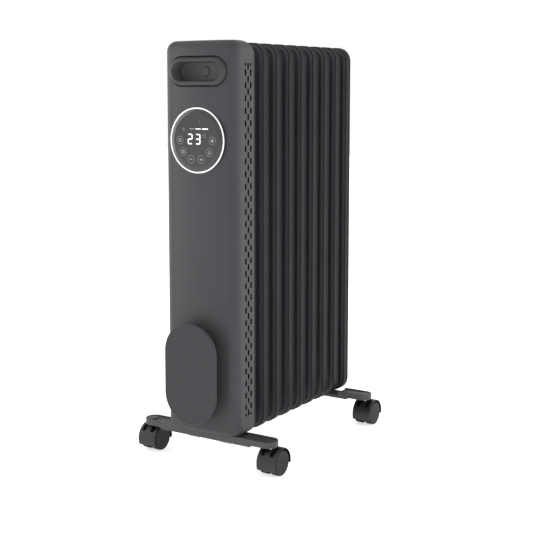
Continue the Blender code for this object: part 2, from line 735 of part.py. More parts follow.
def build_display(builder):
    inner = RING_RADIUS - RING_BAND
    flange = RING_FLANGE_Y - RING_FRONT
    back = flange + RING_FLANGE_THICKNESS
    ring = [
        (inner, back),
        (RING_RADIUS + RING_FLANGE, back),
        (RING_RADIUS + RING_FLANGE, flange),
        (RING_RADIUS, flange),
        (RING_RADIUS, 0.0),
        (inner, 0.0),
    ]
    place = (0.0, RING_FRONT, DISPLAY_LEVEL)
    builder.turned("display_ring", ring, builder.chrome, 28, None, place, FACING_BACK)

    radius = inner - GAP
    rear = LENS_BACK - LENS_FRONT
    turn = math.radians(30.0)
    middle = (radius - LENS_EDGE * (1.0 - math.sin(turn)), LENS_PROUD * (1.0 - math.cos(turn)))
    lens = [
        (0.0, rear),
        (radius, rear),
        (radius, LENS_PROUD),
        middle,
        (radius - LENS_EDGE, 0.0),
        (0.0, 0.0),
    ]
    place = (0.0, LENS_FRONT, DISPLAY_LEVEL)
    builder.turned("display_lens", lens, builder.lens, 28, None, place, FACING_BACK)

    bm = rod_bmesh((0.0, DISPLAY_BOARD_Y, DISPLAY_LEVEL),
                   (0.0, DISPLAY_BOARD_Y + BOARD_THICKNESS, DISPLAY_LEVEL),
                   DISPLAY_BOARD_RADIUS, 20)
    builder.add("display_board", mesh_from(bm, "display_board"), builder.board)


# ---------------------------------------------------------------- cord winder


def winder_screw_levels():
    return (PLATE_LEVEL - WINDER_SCREW_SPREAD, PLATE_LEVEL + WINDER_SCREW_SPREAD)


def build_cord_winder(builder):
    """The post on the front face, the plate on the post, and the screws that hold them."""
    post = stadium(0.0, PLATE_LEVEL, POST_WIDTH, POST_HEIGHT, POST_FRONT, POST_BACK, 5)
    post = builder.add("cord_winder_post", mesh_from(post, "cord_winder_post"),
                       builder.plastic)
    inner_width = POST_WIDTH - 2 * POST_WALL
    inner_height = POST_HEIGHT - 2 * POST_WALL
    builder.cut(post, "post_hollow",
                stadium(0.0, PLATE_LEVEL, inner_width, inner_height,
                        POST_FRONT - OVERSHOOT, POST_BACK - POST_WALL, 5))
    holes = bmesh.new()
    for level in winder_screw_levels():
        add_rod(holes, (0.0, POST_BACK - 2 * POST_WALL, level),
                (0.0, POST_BACK + OVERSHOOT, level), SCREW_RADIUS + GAP, 8)
    builder.cut(post, "post_holes", holes)

    plate = stadium(0.0, PLATE_LEVEL, PLATE_WIDTH, PLATE_HEIGHT, PLATE_FRONT, PLATE_BACK, 8)
    chamfer_face_edge(plate, (0.0, -1.0, 0.0), PLATE_CHAMFER)
    plate = builder.add("cord_winder_plate", mesh_from(plate, "cord_winder_plate"),
                        builder.plastic)
    builder.join(plate, "plate_spigot",
                 stadium(0.0, PLATE_LEVEL, inner_width - 2 * GAP, inner_height - 2 * GAP,
                         PLATE_BACK - PLATE_THICKNESS / 2, PLATE_BACK + SPIGOT_LENGTH, 5))

    wall_back = -CROWN + HOUSING_WALL + GAP
    tip = POST_BACK - 2 * POST_WALL + GAP
    outline = [
        (0.0, wall_back + SCREW_HEAD_THICKNESS),
        (SCREW_HEAD_RADIUS, wall_back + SCREW_HEAD_THICKNESS),
        (SCREW_HEAD_RADIUS, wall_back),
        (SCREW_RADIUS, wall_back),
        (SCREW_RADIUS, tip),
        (0.0, tip),
    ]
    for name, level in zip(("winder_screw_lower", "winder_screw_upper"),
                           winder_screw_levels()):
        builder.turned(name, outline, builder.steel, 8, None, (0.0, 0.0, level), FACING_BACK)


def build_cord_gland(builder):
    """The cord's inlet: a rubber bushing in the front face, behind the winder plate."""
    front = -CROWN - GAP
    bush = [
        (GLAND_BORE, GLAND_TAIL),
        (GLAND_RADIUS, GLAND_TAIL),
        (GLAND_RADIUS, front),
        (GLAND_RADIUS + GLAND_FLANGE, front),
        (GLAND_RADIUS + GLAND_FLANGE, front - GLAND_FLANGE_THICKNESS),
        (GLAND_RADIUS - GLAND_TAPER, front - GLAND_REACH),
        (GLAND_BORE, front - GLAND_REACH),
    ]
    builder.turned("cord_gland", bush, builder.rubber, 12, None, (0.0, 0.0, GLAND_LEVEL),
                   FACING_BACK)


# ---------------------------------------------------------------- mounting plate and element


def build_mounting_plate(builder):
    """The sheet between housing and first fin: it screens the heat and holds the rest."""
    half = FIN_WIDTH / 2 - SHIELD_MARGIN
    sheet = rounded_plate((-half, SHIELD_FRONT, SHIELD_BOTTOM),
                          (half, SHIELD_REAR, HEIGHT - SHIELD_TOP_DROP), 1, SHIELD_CORNER, 3)
    plate = builder.add("mounting_plate", mesh_from(sheet, "mounting_plate"), builder.steel)
    holes = header_rods(SHIELD_FRONT - OVERSHOOT, SHIELD_REAR + OVERSHOOT,
                        NECK_RADIUS + SHIELD_GAP, 16)
    builder.cut(plate, "mounting_plate_holes", holes)


def swept_wire(name, points, radius):
    """A round wire along straight points, as a curve with filled caps."""
    curve = bpy.data.curves.new(name, "CURVE")
    curve.dimensions = "3D"
    curve.bevel_depth = radius
    curve.bevel_resolution = 1
    curve.use_fill_caps = True
    spline = curve.splines.new("POLY")
    spline.points.add(len(points) - 1)
    for point, place in zip(spline.points, points):
        point.co = (*place, 1.0)
    return bpy.data.objects.new(name, curve)


def bend_points(half_spread, steps):
    """Places along a half circle, from one leg of a U to the other."""
    points = []
    for number in range(1, steps):
        angle = math.pi * number / steps
        points.append((-half_spread * math.cos(angle), half_spread * math.sin(angle)))
    return points


def heating_tubes():
    """Two U tubes, one above the other, as one mesh with their caps welded."""
    start = FLANGE_FRONT - TUBE_PROUD
    bend = LAST_FIN - TUBE_END_GAP - TUBE_SPREAD
    group = bmesh.new()
    for level in (LOWER_HEADER - TUBE_SPREAD, LOWER_HEADER + TUBE_SPREAD):
        points = [(-TUBE_SPREAD, start, level), (-TUBE_SPREAD, bend, level)]
        points += [(x, bend + y, level) for x, y in bend_points(TUBE_SPREAD, 6)]
        points += [(TUBE_SPREAD, bend, level), (TUBE_SPREAD, start, level)]
        wire = swept_wire("u_tube", points, TUBE_RADIUS)
        bpy.context.scene.collection.objects.link(wire)
        bpy.context.view_layer.update()
        graph = bpy.context.evaluated_depsgraph_get()
        mesh = bpy.data.meshes.new_from_object(wire.evaluated_get(graph))
        bpy.data.objects.remove(wire, do_unlink=True)
        group.from_mesh(mesh)
        bpy.data.meshes.remove(mesh)
    return group


def build_element(builder):
    """The heating element: flange, U tubes and terminal pins, brazed into one piece."""
    flange = rod_bmesh((0.0, FLANGE_FRONT, LOWER_HEADER),
                       (0.0, FLANGE_FRONT + FLANGE_THICKNESS, LOWER_HEADER), FLANGE_RADIUS, 20)
    element = builder.add("heating_element", mesh_from(flange, "heating_element"),
                          builder.heater)
    builder.join(element, "heating_tubes", heating_tubes())
    pins = bmesh.new()
    pin_root = FLANGE_FRONT - TUBE_PROUD / 2
    for z in (-TUBE_SPREAD, TUBE_SPREAD):
        for x in (-TUBE_SPREAD, TUBE_SPREAD):
            add_rod(pins, (x, pin_root - PIN_LENGTH, LOWER_HEADER + z),
                    (x, pin_root, LOWER_HEADER + z), PIN_RADIUS, 6)
    builder.join(element, "terminal_pins", pins)

    gasket = [
        (NECK_BORE, GASKET_THICKNESS),
        (NECK_RADIUS, GASKET_THICKNESS),
        (NECK_RADIUS, 0.0),
        (NECK_BORE, 0.0),
    ]
    builder.turned("element_gasket", gasket, builder.rubber, 16, None,
                   (0.0, GASKET_FRONT, LOWER_HEADER), FACING_BACK)


def build_controls(builder):
    """Power board, room sensor, thermal cutout and tip-over switch."""
    width, depth, height = POWER_BOARD_SIZE
    x, y, z = POWER_BOARD_PLACE
    board = box_bmesh((x - width / 2, y, z - height / 2),
                      (x + width / 2, y + depth, z + height / 2))
    builder.add("power_board", mesh_from(board, "power_board"), builder.board)

    x, y, z = SENSOR_PLACE
    bulb = rod_bmesh((x, y, z), (x, y, z + SENSOR_LENGTH), SENSOR_RADIUS, 10)
    builder.add("temperature_sensor", mesh_from(bulb, "temperature_sensor"), builder.steel)

    end = SHIELD_FRONT - GAP
    disc = rod_bmesh((0.0, end - CUTOUT_LENGTH, CUTOUT_LEVEL), (0.0, end, CUTOUT_LEVEL),
                     CUTOUT_RADIUS, 14)
    builder.add("thermal_cutout", mesh_from(disc, "thermal_cutout"), builder.black)

    width, depth, height = TIP_SWITCH_SIZE
    x, z = TIP_SWITCH_PLACE
    box = box_bmesh((x - width / 2, end - depth, z - height / 2),
                    (x + width / 2, end, z + height / 2))
    builder.add("tip_switch", mesh_from(box, "tip_switch"), builder.black)


# ---------------------------------------------------------------- foot bars


def bar_form(y):
    """A long bar with round ends and a raised underside at both ends."""
    low = (-BAR_HALF_LENGTH, y - BAR_WIDTH / 2, BAR_UNDER)
    high = (BAR_HALF_LENGTH, y + BAR_WIDTH / 2, BAR_TOP)
    return rounded_plate(low, high, 2, BAR_WIDTH / 2, 6)


def bar_undercut(y):
    """What is taken off below both ends: a block with a slanted inner end."""
    bm = bmesh.new()
    step = BAR_HALF_LENGTH - BAR_STEP_INSET
    for side in (-1.0, 1.0):
        ends = sorted((side * step, side * (BAR_HALF_LENGTH + OVERSHOOT)))
        add_box(bm, (ends[0], y - BAR_WIDTH, BAR_UNDER - OVERSHOOT),
                (ends[1], y + BAR_WIDTH, BAR_END_UNDER))
    for vert in bm.verts:
        at_step = abs(abs(vert.co.x) - step) < 1e-6
        if at_step and vert.co.z > BAR_UNDER:
            vert.co.x += math.copysign(BAR_STEP_SLOPE, vert.co.x)
        elif at_step:
            slope = BAR_STEP_SLOPE / BAR_DROP
            vert.co.x -= math.copysign(slope * OVERSHOOT, vert.co.x)
    return bm


def build_foot_bar(builder, name, y, bolt_x, bolt_radius, under_fins):
    """A foot bar; the rear one is flat in the middle, where the fins stand over it."""
    bar = builder.add(name, mesh_from(bar_form(y), name), builder.paint)
    builder.cut(bar, f"{name}_undercut", bar_undercut(y))
    inner = BAR_HALF_LENGTH - BAR_LIP
    inner_half = BAR_WIDTH / 2 - BAR_LIP
    trough = rounded_plate((-inner, y - inner_half, BAR_FLOOR),
                           (inner, y + inner_half, BAR_TOP + OVERSHOOT), 2, inner_half, 6)
    builder.cut(bar, f"{name}_trough", trough)
    if under_fins:
        reach = FIN_WIDTH / 2 + BAR_TO_FIN
        builder.cut(bar, f"{name}_centre",
                    box_bmesh((-reach, y - BAR_WIDTH, BAR_CENTRE_TOP),
                              (reach, y + BAR_WIDTH, BAR_TOP + OVERSHOOT)))
    pads = bmesh.new()
    holes = bmesh.new()
    for side in (-1.0, 1.0):
        x = side * STEM_X
        add_rod(pads, (x, y, BAR_FLOOR - PAD_ROOT), (x, y, BAR_FLOOR + PAD_HEIGHT), PAD_RADIUS, 16)
        top = BAR_FLOOR + PAD_HEIGHT - SOCKET_CAP
        add_rod(holes, (x, y, BAR_UNDER - OVERSHOOT), (x, y, top), STEM_RADIUS + RUNNING, 12)
        dimple = side * (BAR_HALF_LENGTH - DIMPLE_INSET)
        add_rod(holes, (dimple, y, BAR_UNDER - OVERSHOOT), (dimple, y, BAR_TOP + OVERSHOOT),
                DIMPLE_RADIUS, 8)
        bolt = side * bolt_x
        add_rod(holes, (bolt, y, BAR_UNDER - OVERSHOOT), (bolt, y, BAR_TOP + OVERSHOOT),
                bolt_radius + SCREW_CLEARANCE, 10)
    builder.join(bar, f"{name}_pads", pads)
    builder.cut(bar, f"{name}_holes", holes)


def wing_bmesh(x, y, top):
    """The flat wing through a hub whose upper end is at a level."""
    low = (x - WING_SPAN / 2, y - WING_THICKNESS / 2, top - WING_HEIGHT)
    high = (x + WING_SPAN / 2, y + WING_THICKNESS / 2, top - WING_DROP)
    return box_bmesh(low, high)


def build_front_fixing(builder):
    """The bracket inside the housing and the wing bolts that hold the front bar."""
    floor = HOUSING_BOTTOM + HOUSING_WALL + GAP
    back = SHIELD_FRONT - GAP
    foot = box_bmesh((-BRACKET_WIDTH / 2, back - BRACKET_DEPTH, floor),
                     (BRACKET_WIDTH / 2, back, floor + BRACKET_THICKNESS))
    bracket = builder.add("front_bar_bracket", mesh_from(foot, "front_bar_bracket"),
                          builder.steel)
    builder.join(bracket, "bracket_leg",
                 box_bmesh((-BRACKET_WIDTH / 2, back - BRACKET_THICKNESS, floor),
                           (BRACKET_WIDTH / 2, back, floor + BRACKET_HEIGHT)))
    builder.cut(bracket, "neck_room", header_rods(back - BRACKET_THICKNESS - OVERSHOOT,
                                                  back + OVERSHOOT,
                                                  NECK_RADIUS + SHIELD_GAP, 16))
    holes = bmesh.new()
    for x in (-WING_BOLT_X, WING_BOLT_X):
        add_rod(holes, (x, FRONT_BAR, floor - OVERSHOOT), (x, FRONT_BAR, floor + OVERSHOOT),
                WING_BOLT_RADIUS + SCREW_CLEARANCE, 10)
    builder.cut(bracket, "bracket_holes", holes)

    bolt_end = floor + BRACKET_THICKNESS + WING_BOLT_HEAD_ROOM
    top = BAR_UNDER - GAP
    outline = [
        (0.0, bolt_end),
        (WING_BOLT_RADIUS, bolt_end),
        (WING_BOLT_RADIUS, top),
        (WING_HUB_RADIUS, top),
        (WING_HUB_RADIUS, top - WING_HUB_HEIGHT),
        (0.0, top - WING_HUB_HEIGHT),
    ]
    for label, x in (("left", -WING_BOLT_X), ("right", WING_BOLT_X)):
        bolt = builder.turned(f"wing_bolt_{label}", outline, builder.steel, 10, None,
                              (x, FRONT_BAR, 0.0))
        builder.join(bolt, f"bolt_wing_{label}", wing_bmesh(x, FRONT_BAR, top))


def build_rear_fixing(builder):
    """The U-bolt over the lower header and the wing nuts below the rear bar."""
    radius = NECK_RADIUS + U_BOLT_GAP + U_BOLT_RADIUS
    foot = BAR_UNDER - U_BOLT_PROJECTION
    points = [(-radius, REAR_BAR, foot), (-radius, REAR_BAR, LOWER_HEADER)]
    points += [(x, REAR_BAR, LOWER_HEADER + z) for x, z in bend_points(radius, 8)]
    points += [(radius, REAR_BAR, LOWER_HEADER), (radius, REAR_BAR, foot)]
    bolt = swept_wire("rear_u_bolt", points, U_BOLT_RADIUS)
    bolt.data.materials.append(builder.steel)
    bolt.parent = builder.datum
    builder.parts.objects.link(bolt)

    top = BAR_UNDER - GAP
    bore = U_BOLT_RADIUS + GAP
    outline = [
        (WING_HUB_RADIUS, top),
        (WING_HUB_RADIUS, top - WING_HUB_HEIGHT),
        (bore, top - WING_HUB_HEIGHT),
        (bore, top),
    ]
    for label, x in (("left", -radius), ("right", radius)):
        nut = builder.turned(f"wing_nut_{label}", outline, builder.steel, 10, None,
                             (x, REAR_BAR, 0.0))
        builder.join(nut, f"nut_wing_{label}", wing_bmesh(x, REAR_BAR, top))
        shaft = rod_bmesh((x, REAR_BAR, foot - OVERSHOOT), (x, REAR_BAR, top + OVERSHOOT),
                          bore, 10)
        builder.cut(nut, f"nut_bore_{label}", shaft)
    return radius


# ---------------------------------------------------------------- casters


def hood_lower_cut():
    """A block below the slanted lower edge of the hood, in the wheel's own frame."""
    front = -math.sqrt(HOOD_RADIUS ** 2 - (WHEEL_RADIUS - HOOD_FRONT_LEVEL) ** 2)
    rear = math.sqrt(HOOD_RADIUS ** 2 - (WHEEL_RADIUS - HOOD_REAR_LEVEL) ** 2)
    rise = (HOOD_REAR_LEVEL - HOOD_FRONT_LEVEL) / (rear - front)
    half = HOOD_WIDTH
    bm = box_bmesh((-half, -2 * HOOD_RADIUS, -3 * HOOD_RADIUS), (half, 2 * HOOD_RADIUS, 0.0))
    for vert in bm.verts:
        if vert.co.z > -HOOD_RADIUS:
            vert.co.z = HOOD_FRONT_LEVEL - WHEEL_RADIUS + (vert.co.y - front) * rise
    return bm


def build_caster(builder, name, x, y):
    """One twin-wheel caster; its empty stands on the swivel axis, at the floor."""
    swivel = builder.empty(f"{name}_swivel", (x, y, 0.0), builder.datum)
    hub = builder.empty(f"{name}_hub", (0.0, CASTER_TRAIL, WHEEL_RADIUS), swivel)

    half = HOOD_WIDTH / 2
    shell = rod_bmesh((-half, 0.0, 0.0), (half, 0.0, 0.0), HOOD_RADIUS, HOOD_SIDES)
    hood = builder.add(f"{name}_hood", mesh_from(shell, f"{name}_hood"), builder.black, hub)
    pockets = bmesh.new()
    windows = bmesh.new()
    for side in (-1.0, 1.0):
        add_rod(pockets, (side * WEB_HALF, 0.0, 0.0), (side * (half + OVERSHOOT), 0.0, 0.0),
                WHEEL_RADIUS + HOOD_GAP, HOOD_SIDES)
        ends = sorted((side * (WEB_HALF + GAP), side * HOOD_WINDOW_HALF))
        add_box(windows, (ends[0], -HOOD_RADIUS, HOOD_WINDOW_LEVEL - WHEEL_RADIUS),
                (ends[1], -GAP, HOOD_RADIUS + OVERSHOOT))
    builder.cut(hood, f"{name}_pockets", pockets, hub)
    builder.cut(hood, f"{name}_lower", hood_lower_cut(), hub)
    builder.cut(hood, f"{name}_windows", windows, hub)
    holes = rod_bmesh((-half, 0.0, 0.0), (half, 0.0, 0.0), AXLE_RADIUS + RUNNING, 10)
    add_rod(holes, (0.0, -CASTER_TRAIL, STEM_FOOT - WHEEL_RADIUS),
            (0.0, -CASTER_TRAIL, HOOD_RADIUS + OVERSHOOT), STEM_RADIUS + GAP, 12)
    builder.cut(hood, f"{name}_holes", holes, hub)

    stem_top = BAR_FLOOR + PAD_HEIGHT - SOCKET_CAP - GAP
    stem = rod_bmesh((0.0, 0.0, STEM_FOOT + GAP), (0.0, 0.0, stem_top), STEM_RADIUS, 12)
    builder.add(f"{name}_stem", mesh_from(stem, f"{name}_stem"), builder.steel, swivel)

    wheel_start = WEB_HALF + RUNNING
    axle_half = wheel_start + WHEEL_BORE_DEPTH - GAP
    axle = rod_bmesh((-axle_half, 0.0, 0.0), (axle_half, 0.0, 0.0), AXLE_RADIUS, 10)
    builder.add(f"{name}_axle", mesh_from(axle, f"{name}_axle"), builder.steel, hub)

    bore = AXLE_RADIUS + RUNNING
    outline = [
        (0.0, WHEEL_WIDTH),
        (WHEEL_RADIUS - WHEEL_EDGE, WHEEL_WIDTH),
        (WHEEL_RADIUS, WHEEL_WIDTH - WHEEL_EDGE),
        (WHEEL_RADIUS, 0.0),
        (bore, 0.0),
        (bore, WHEEL_BORE_DEPTH),
        (0.0, WHEEL_BORE_DEPTH),
    ]
    for label, side in (("left", -1.0), ("right", 1.0)):
        turn = (0.0, side * math.pi / 2, 0.0)
        builder.turned(f"{name}_wheel_{label}", outline, builder.black, 20, hub,
                       (side * wheel_start, 0.0, 0.0), turn)


# ---------------------------------------------------------------- assembly


def build_heater():
    clear_scene()
    builder = Builder()
    build_fins(builder)
    build_header_closures(builder)
    build_housing(builder)
    build_handle(builder)
    build_power_button(builder)
    build_display(builder)
    build_cord_winder(builder)
    build_cord_gland(builder)
    build_mounting_plate(builder)
    build_element(builder)
    build_controls(builder)
    u_bolt_x = build_rear_fixing(builder)
    build_front_fixing(builder)
    build_foot_bar(builder, "front_foot_bar", FRONT_BAR, WING_BOLT_X, WING_BOLT_RADIUS, False)
    build_foot_bar(builder, "rear_foot_bar", REAR_BAR, u_bolt_x, U_BOLT_RADIUS, True)
    for row, y in (("front", FRONT_BAR), ("rear", REAR_BAR)):
        for label, side in (("left", -1.0), ("right", 1.0)):
            build_caster(builder, f"{row}_{label}_caster", side * STEM_X, y)


build_heater()
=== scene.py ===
"""Looks of an oil filled radiator heater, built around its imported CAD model.

Metres, +Z up, the front faces -Y. Each sub-assembly is a class that models its pieces in
place and dresses them; the CAD nodes that stay visible get a finish of their own.
"""

import json
import logging
import math
from collections.abc import Callable, Iterator, Sequence
from contextlib import contextmanager
from dataclasses import dataclass, field
from enum import Enum

import bpy
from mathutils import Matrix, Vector


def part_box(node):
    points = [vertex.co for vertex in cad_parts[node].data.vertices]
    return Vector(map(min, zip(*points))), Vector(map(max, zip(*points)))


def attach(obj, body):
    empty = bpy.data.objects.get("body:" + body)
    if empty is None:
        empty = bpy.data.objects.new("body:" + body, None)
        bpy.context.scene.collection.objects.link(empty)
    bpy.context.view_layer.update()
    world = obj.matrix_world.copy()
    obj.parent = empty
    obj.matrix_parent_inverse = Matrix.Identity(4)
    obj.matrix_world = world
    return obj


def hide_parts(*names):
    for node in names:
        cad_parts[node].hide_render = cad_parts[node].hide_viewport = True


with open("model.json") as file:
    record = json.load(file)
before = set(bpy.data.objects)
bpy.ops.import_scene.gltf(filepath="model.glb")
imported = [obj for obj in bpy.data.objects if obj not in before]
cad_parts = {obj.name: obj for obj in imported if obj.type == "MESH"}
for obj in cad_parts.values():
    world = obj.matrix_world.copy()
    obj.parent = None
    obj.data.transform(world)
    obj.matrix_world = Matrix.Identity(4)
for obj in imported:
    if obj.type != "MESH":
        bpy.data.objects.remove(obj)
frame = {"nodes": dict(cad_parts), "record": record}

log = logging.getLogger("heater")

Step = tuple[float, float]
Place = tuple[float, float, float]

HEATER = "heater"               # the CAD body that stands still
EDGE_ANGLE = math.radians(32)   # sharper edges stay crisp in the shading
CUT_REACH = 0.012               # how far a cutting tool reaches past what it cuts
GAP = 0.0003                    # between neighbouring pieces
HAIR = 1e-5                     # slack when places are compared
COAT_ROUGHNESS = 0.12           # of a finish's clear coat
FLAT = 0.98                     # a face this square to an axis counts as flat


class Axis(Enum):
    """A direction of the frame, with the vector along it."""

    X = (1.0, 0.0, 0.0)
    Y = (0.0, 1.0, 0.0)
    Z = (0.0, 0.0, 1.0)

    @property
    def index(self) -> int:
        """The place of this axis in a vector."""
        return "XYZ".index(self.name)


class Cut(Enum):
    """How a tool acts on a piece."""

    TAKE = "DIFFERENCE"
    WELD = "UNION"
    KEEP = "INTERSECT"


# ---------------------------------------------------------------- workshop


def solo(piece: bpy.types.Object) -> None:
    """Select one piece and nothing else, and make it the active one."""
    bpy.ops.object.select_all(action="DESELECT")
    piece.select_set(True)
    bpy.context.view_layer.objects.active = piece


@contextmanager
def editing(piece: bpy.types.Object) -> Iterator[None]:
    """Open one piece in edit mode with its present selection.

    Args:
        piece: the mesh object to work on.
    """
    solo(piece)
    bpy.ops.object.mode_set(mode="EDIT")
    try:
        yield
    finally:
        bpy.ops.object.mode_set(mode="OBJECT")


def clear_picks(piece: bpy.types.Object) -> None:
    """Deselect every vertex, edge and face of a piece."""
    with editing(piece):
        bpy.ops.mesh.select_mode(type="VERT")
        bpy.ops.mesh.select_all(action="DESELECT")


def pick_faces(piece: bpy.types.Object, wanted: Callable[[Vector, Vector], bool]) -> int:
    """Select the faces that are wanted, by their centre and normal.

    Args:
        piece: the mesh object to select in.
        wanted: a test of a face's centre and normal.

    Returns:
        How many faces were selected.
    """
    clear_picks(piece)
    with editing(piece):
        bpy.ops.mesh.select_mode(type="FACE")
    count = 0
    for face in piece.data.polygons:
        face.select = wanted(face.center, face.normal)
        count += face.select
    return count


def pick_edges(piece: bpy.types.Object, wanted: Callable[[Vector, Vector], bool]) -> int:
    """Select the edges that are wanted, by their two ends.

    Args:
        piece: the mesh object to select in.
        wanted: a test of an edge's two ends.

    Returns:
        How many edges were selected.
    """
    clear_picks(piece)
    with editing(piece):
        bpy.ops.mesh.select_mode(type="EDGE")
    points = piece.data.vertices
    count = 0
    for edge in piece.data.edges:
        edge.select = wanted(points[edge.vertices[0]].co, points[edge.vertices[1]].co)
        count += edge.select
    return count


def pick_points(piece: bpy.types.Object, wanted: Callable[[Vector], bool]) -> int:
    """Select the vertices that are wanted, by their place, and say how many there are."""
    clear_picks(piece)
    count = 0
    for point in piece.data.vertices:
        point.select = wanted(point.co)
        count += point.select
    return count


def pick_cap(piece: bpy.types.Object, normal: Vector) -> None:
    """Select the largest face that looks along a normal."""
    facing = [f for f in piece.data.polygons if f.normal.dot(normal) > 0.999]
    best = max(facing, key=lambda face: face.area).center.copy()
    pick_faces(piece, lambda centre, n: n.dot(normal) > 0.999 and (centre - best).length < 1e-6)


def place_mesh(piece: bpy.types.Object) -> bpy.types.Object:
    """Move a piece's place, turn and scale into its mesh."""
    solo(piece)
    bpy.ops.object.transform_apply(location=True, rotation=True, scale=True)
    return piece


def block(name: str, low: Sequence[float], high: Sequence[float]) -> bpy.types.Object:
    """A box between two opposite corners.

    Args:
        name: the piece's name.
        low: its lowest corner.
        high: its highest corner.

    Returns:
        The new piece.
    """
    size = [h - l for l, h in zip(low, high)]
    middle = [(h + l) / 2 for l, h in zip(low, high)]
    bpy.ops.mesh.primitive_cube_add(size=1.0, location=middle)
    piece = bpy.context.object
    piece.name = piece.data.name = name
    piece.scale = size
    return place_mesh(piece)


def drum(name: str, start: Sequence[float], axis: Axis, length: float, radius: float,
         sides: int = 64) -> bpy.types.Object:
    """A round bar along an axis.

    Args:
        name: the piece's name.
        start: the middle of its first end.
        axis: the direction it runs in.
        length: how far it runs, below zero to run backwards.
        radius: its radius.
        sides: how many flats the round has.

    Returns:
        The new piece.
    """
    middle = Vector(start) + Vector(axis.value) * length / 2
    turn = {Axis.X: (0.0, math.pi / 2, 0.0), Axis.Y: (math.pi / 2, 0.0, 0.0),
            Axis.Z: (0.0, 0.0, 0.0)}[axis]
    bpy.ops.mesh.primitive_cylinder_add(vertices=sides, radius=radius, depth=abs(length),
                                        location=middle, rotation=turn)
    piece = bpy.context.object
    piece.name = piece.data.name = name
    return place_mesh(piece)


def round_corners(piece: bpy.types.Object, axis: Axis, radius: float, segments: int,
                  wanted: Callable[[Vector], bool] = lambda middle: True) -> None:
    """Round the edges that run along an axis.

    Args:
        piece: the piece to round.
        axis: the direction of the edges.
        radius: the radius of the round.
        segments: how many flats a quarter turn has.
        wanted: a test of an edge's middle.
    """
    def along(a: Vector, b: Vector) -> bool:
        return abs((b - a).normalized()[axis.index]) > 0.999 and wanted((a + b) / 2)

    pick_edges(piece, along)
    with editing(piece):
        bpy.ops.mesh.bevel(offset=radius, offset_type="OFFSET", segments=segments,
                           profile=0.5, affect="EDGES", clamp_overlap=True)
        bpy.ops.mesh.select_all(action="SELECT")
        bpy.ops.mesh.remove_doubles(threshold=1e-6)


def stadium(name: str, middle: Sequence[float], length: float, height: float, depth: float,
            segments: int = 16) -> bpy.types.Object:
    """A block with full round ends in the XZ plane.

    Args:
        name: the piece's name.
        middle: the middle of its front face.
        length: its size along X.
        height: its size along Z.
        depth: how far it runs back, along +Y.
        segments: how many flats a quarter turn has.

    Returns:
        The new piece.
    """
    x, y, z = middle
    piece = block(name, (x - length / 2, y, z - height / 2),
                  (x + length / 2, y + depth, z + height / 2))
    round_corners(piece, Axis.Y, min(length, height) / 2, segments)
    return piece


def arc(run: float, rise: float, count: int, flat_start: bool) -> list[Step]:
    """The inset and depth steps of a quarter round.

    Args:
        run: how far it goes inwards over the face.
        rise: how far it goes along the face's normal, below zero for inwards.
        count: how many steps it has.
        flat_start: True if it leaves the face gently and ends steep.

    Returns:
        The steps, each an inset and a depth.
    """
    turns = [math.pi / 2 * i / count for i in range(count + 1)]
    if flat_start:
        path = [(run * math.sin(t), rise * (1.0 - math.cos(t))) for t in turns]
    else:
        path = [(run * (1.0 - math.cos(t)), rise * math.sin(t)) for t in turns]
    return [(b[0] - a[0], b[1] - a[1]) for a, b in zip(path, path[1:])]


def carve(piece: bpy.types.Object, normal: Sequence[float], steps: Sequence[Step]) -> None:
    """Shape the face that looks along a normal by insets, each with a depth.

    Args:
        piece: the piece to shape.
        normal: the direction the face looks in.
        steps: inset and depth pairs, from the face's outline inwards.
    """
    pick_cap(piece, Vector(normal))
    with editing(piece):
        for thickness, depth in steps:
            if abs(thickness) < 1e-7:
                move = Vector(normal) * depth
                bpy.ops.mesh.extrude_region_move(TRANSFORM_OT_translate={"value": move})
            else:
                bpy.ops.mesh.inset(thickness=thickness, depth=depth, use_even_offset=True)


def use_tool(piece: bpy.types.Object, tool: bpy.types.Object, cut: Cut,
             lining: "Finish | None" = None) -> None:
    """Cut or weld a piece with a tool, and put the tool away.

    Args:
        piece: the piece to work on.
        tool: the other shape, which is removed.
        cut: how the tool acts.
        lining: the finish of the faces that the tool leaves, if it has its own.
    """
    if lining:
        material = lining.material()
        if material.name not in piece.data.materials:
            piece.data.materials.append(material)
        number = piece.data.materials.find(material.name)
        tool.data.materials.clear()
        for slot in piece.data.materials:
            tool.data.materials.append(slot)
        for face in tool.data.polygons:
            face.material_index = number
    solo(piece)
    modifier = piece.modifiers.new("tool", "BOOLEAN")
    modifier.operation = cut.value
    modifier.solver = "EXACT"
    modifier.object = tool
    bpy.ops.object.modifier_apply(modifier=modifier.name)
    bpy.data.objects.remove(tool, do_unlink=True)


def copies(first: bpy.types.Object, places: Sequence[Place]) -> bpy.types.Object:
    """Copy a piece to several places and join the copies into one.

    Args:
        first: the piece, which is used up.
        places: how far each copy is moved.

    Returns:
        All the copies as one piece.
    """
    made = []
    for place in places:
        twin = first.copy()
        twin.data = first.data.copy()
        bpy.context.scene.collection.objects.link(twin)
        twin.location = place
        made.append(place_mesh(twin))
    bpy.data.objects.remove(first, do_unlink=True)
    return join(made)


def join(made: Sequence[bpy.types.Object]) -> bpy.types.Object:
    """Join several meshes into the first of them."""
    solo(made[0])
    for other in made[1:]:
        other.select_set(True)
    if len(made) > 1:
        bpy.ops.object.join()
    return made[0]


def soften(piece: bpy.types.Object, width: float, segments: int = 2,
           angle: float = math.radians(40)) -> None:
    """Round a piece's sharp edges a little.

    Args:
        piece: the piece to soften.
        width: the width of the rounding.
        segments: how many flats it has.
        angle: edges sharper than this are rounded.
    """
    solo(piece)
    modifier = piece.modifiers.new("soft edges", "BEVEL")
    modifier.width = width
    modifier.segments = segments
    modifier.limit_method = "ANGLE"
    modifier.angle_limit = angle
    bpy.ops.object.modifier_apply(modifier=modifier.name)


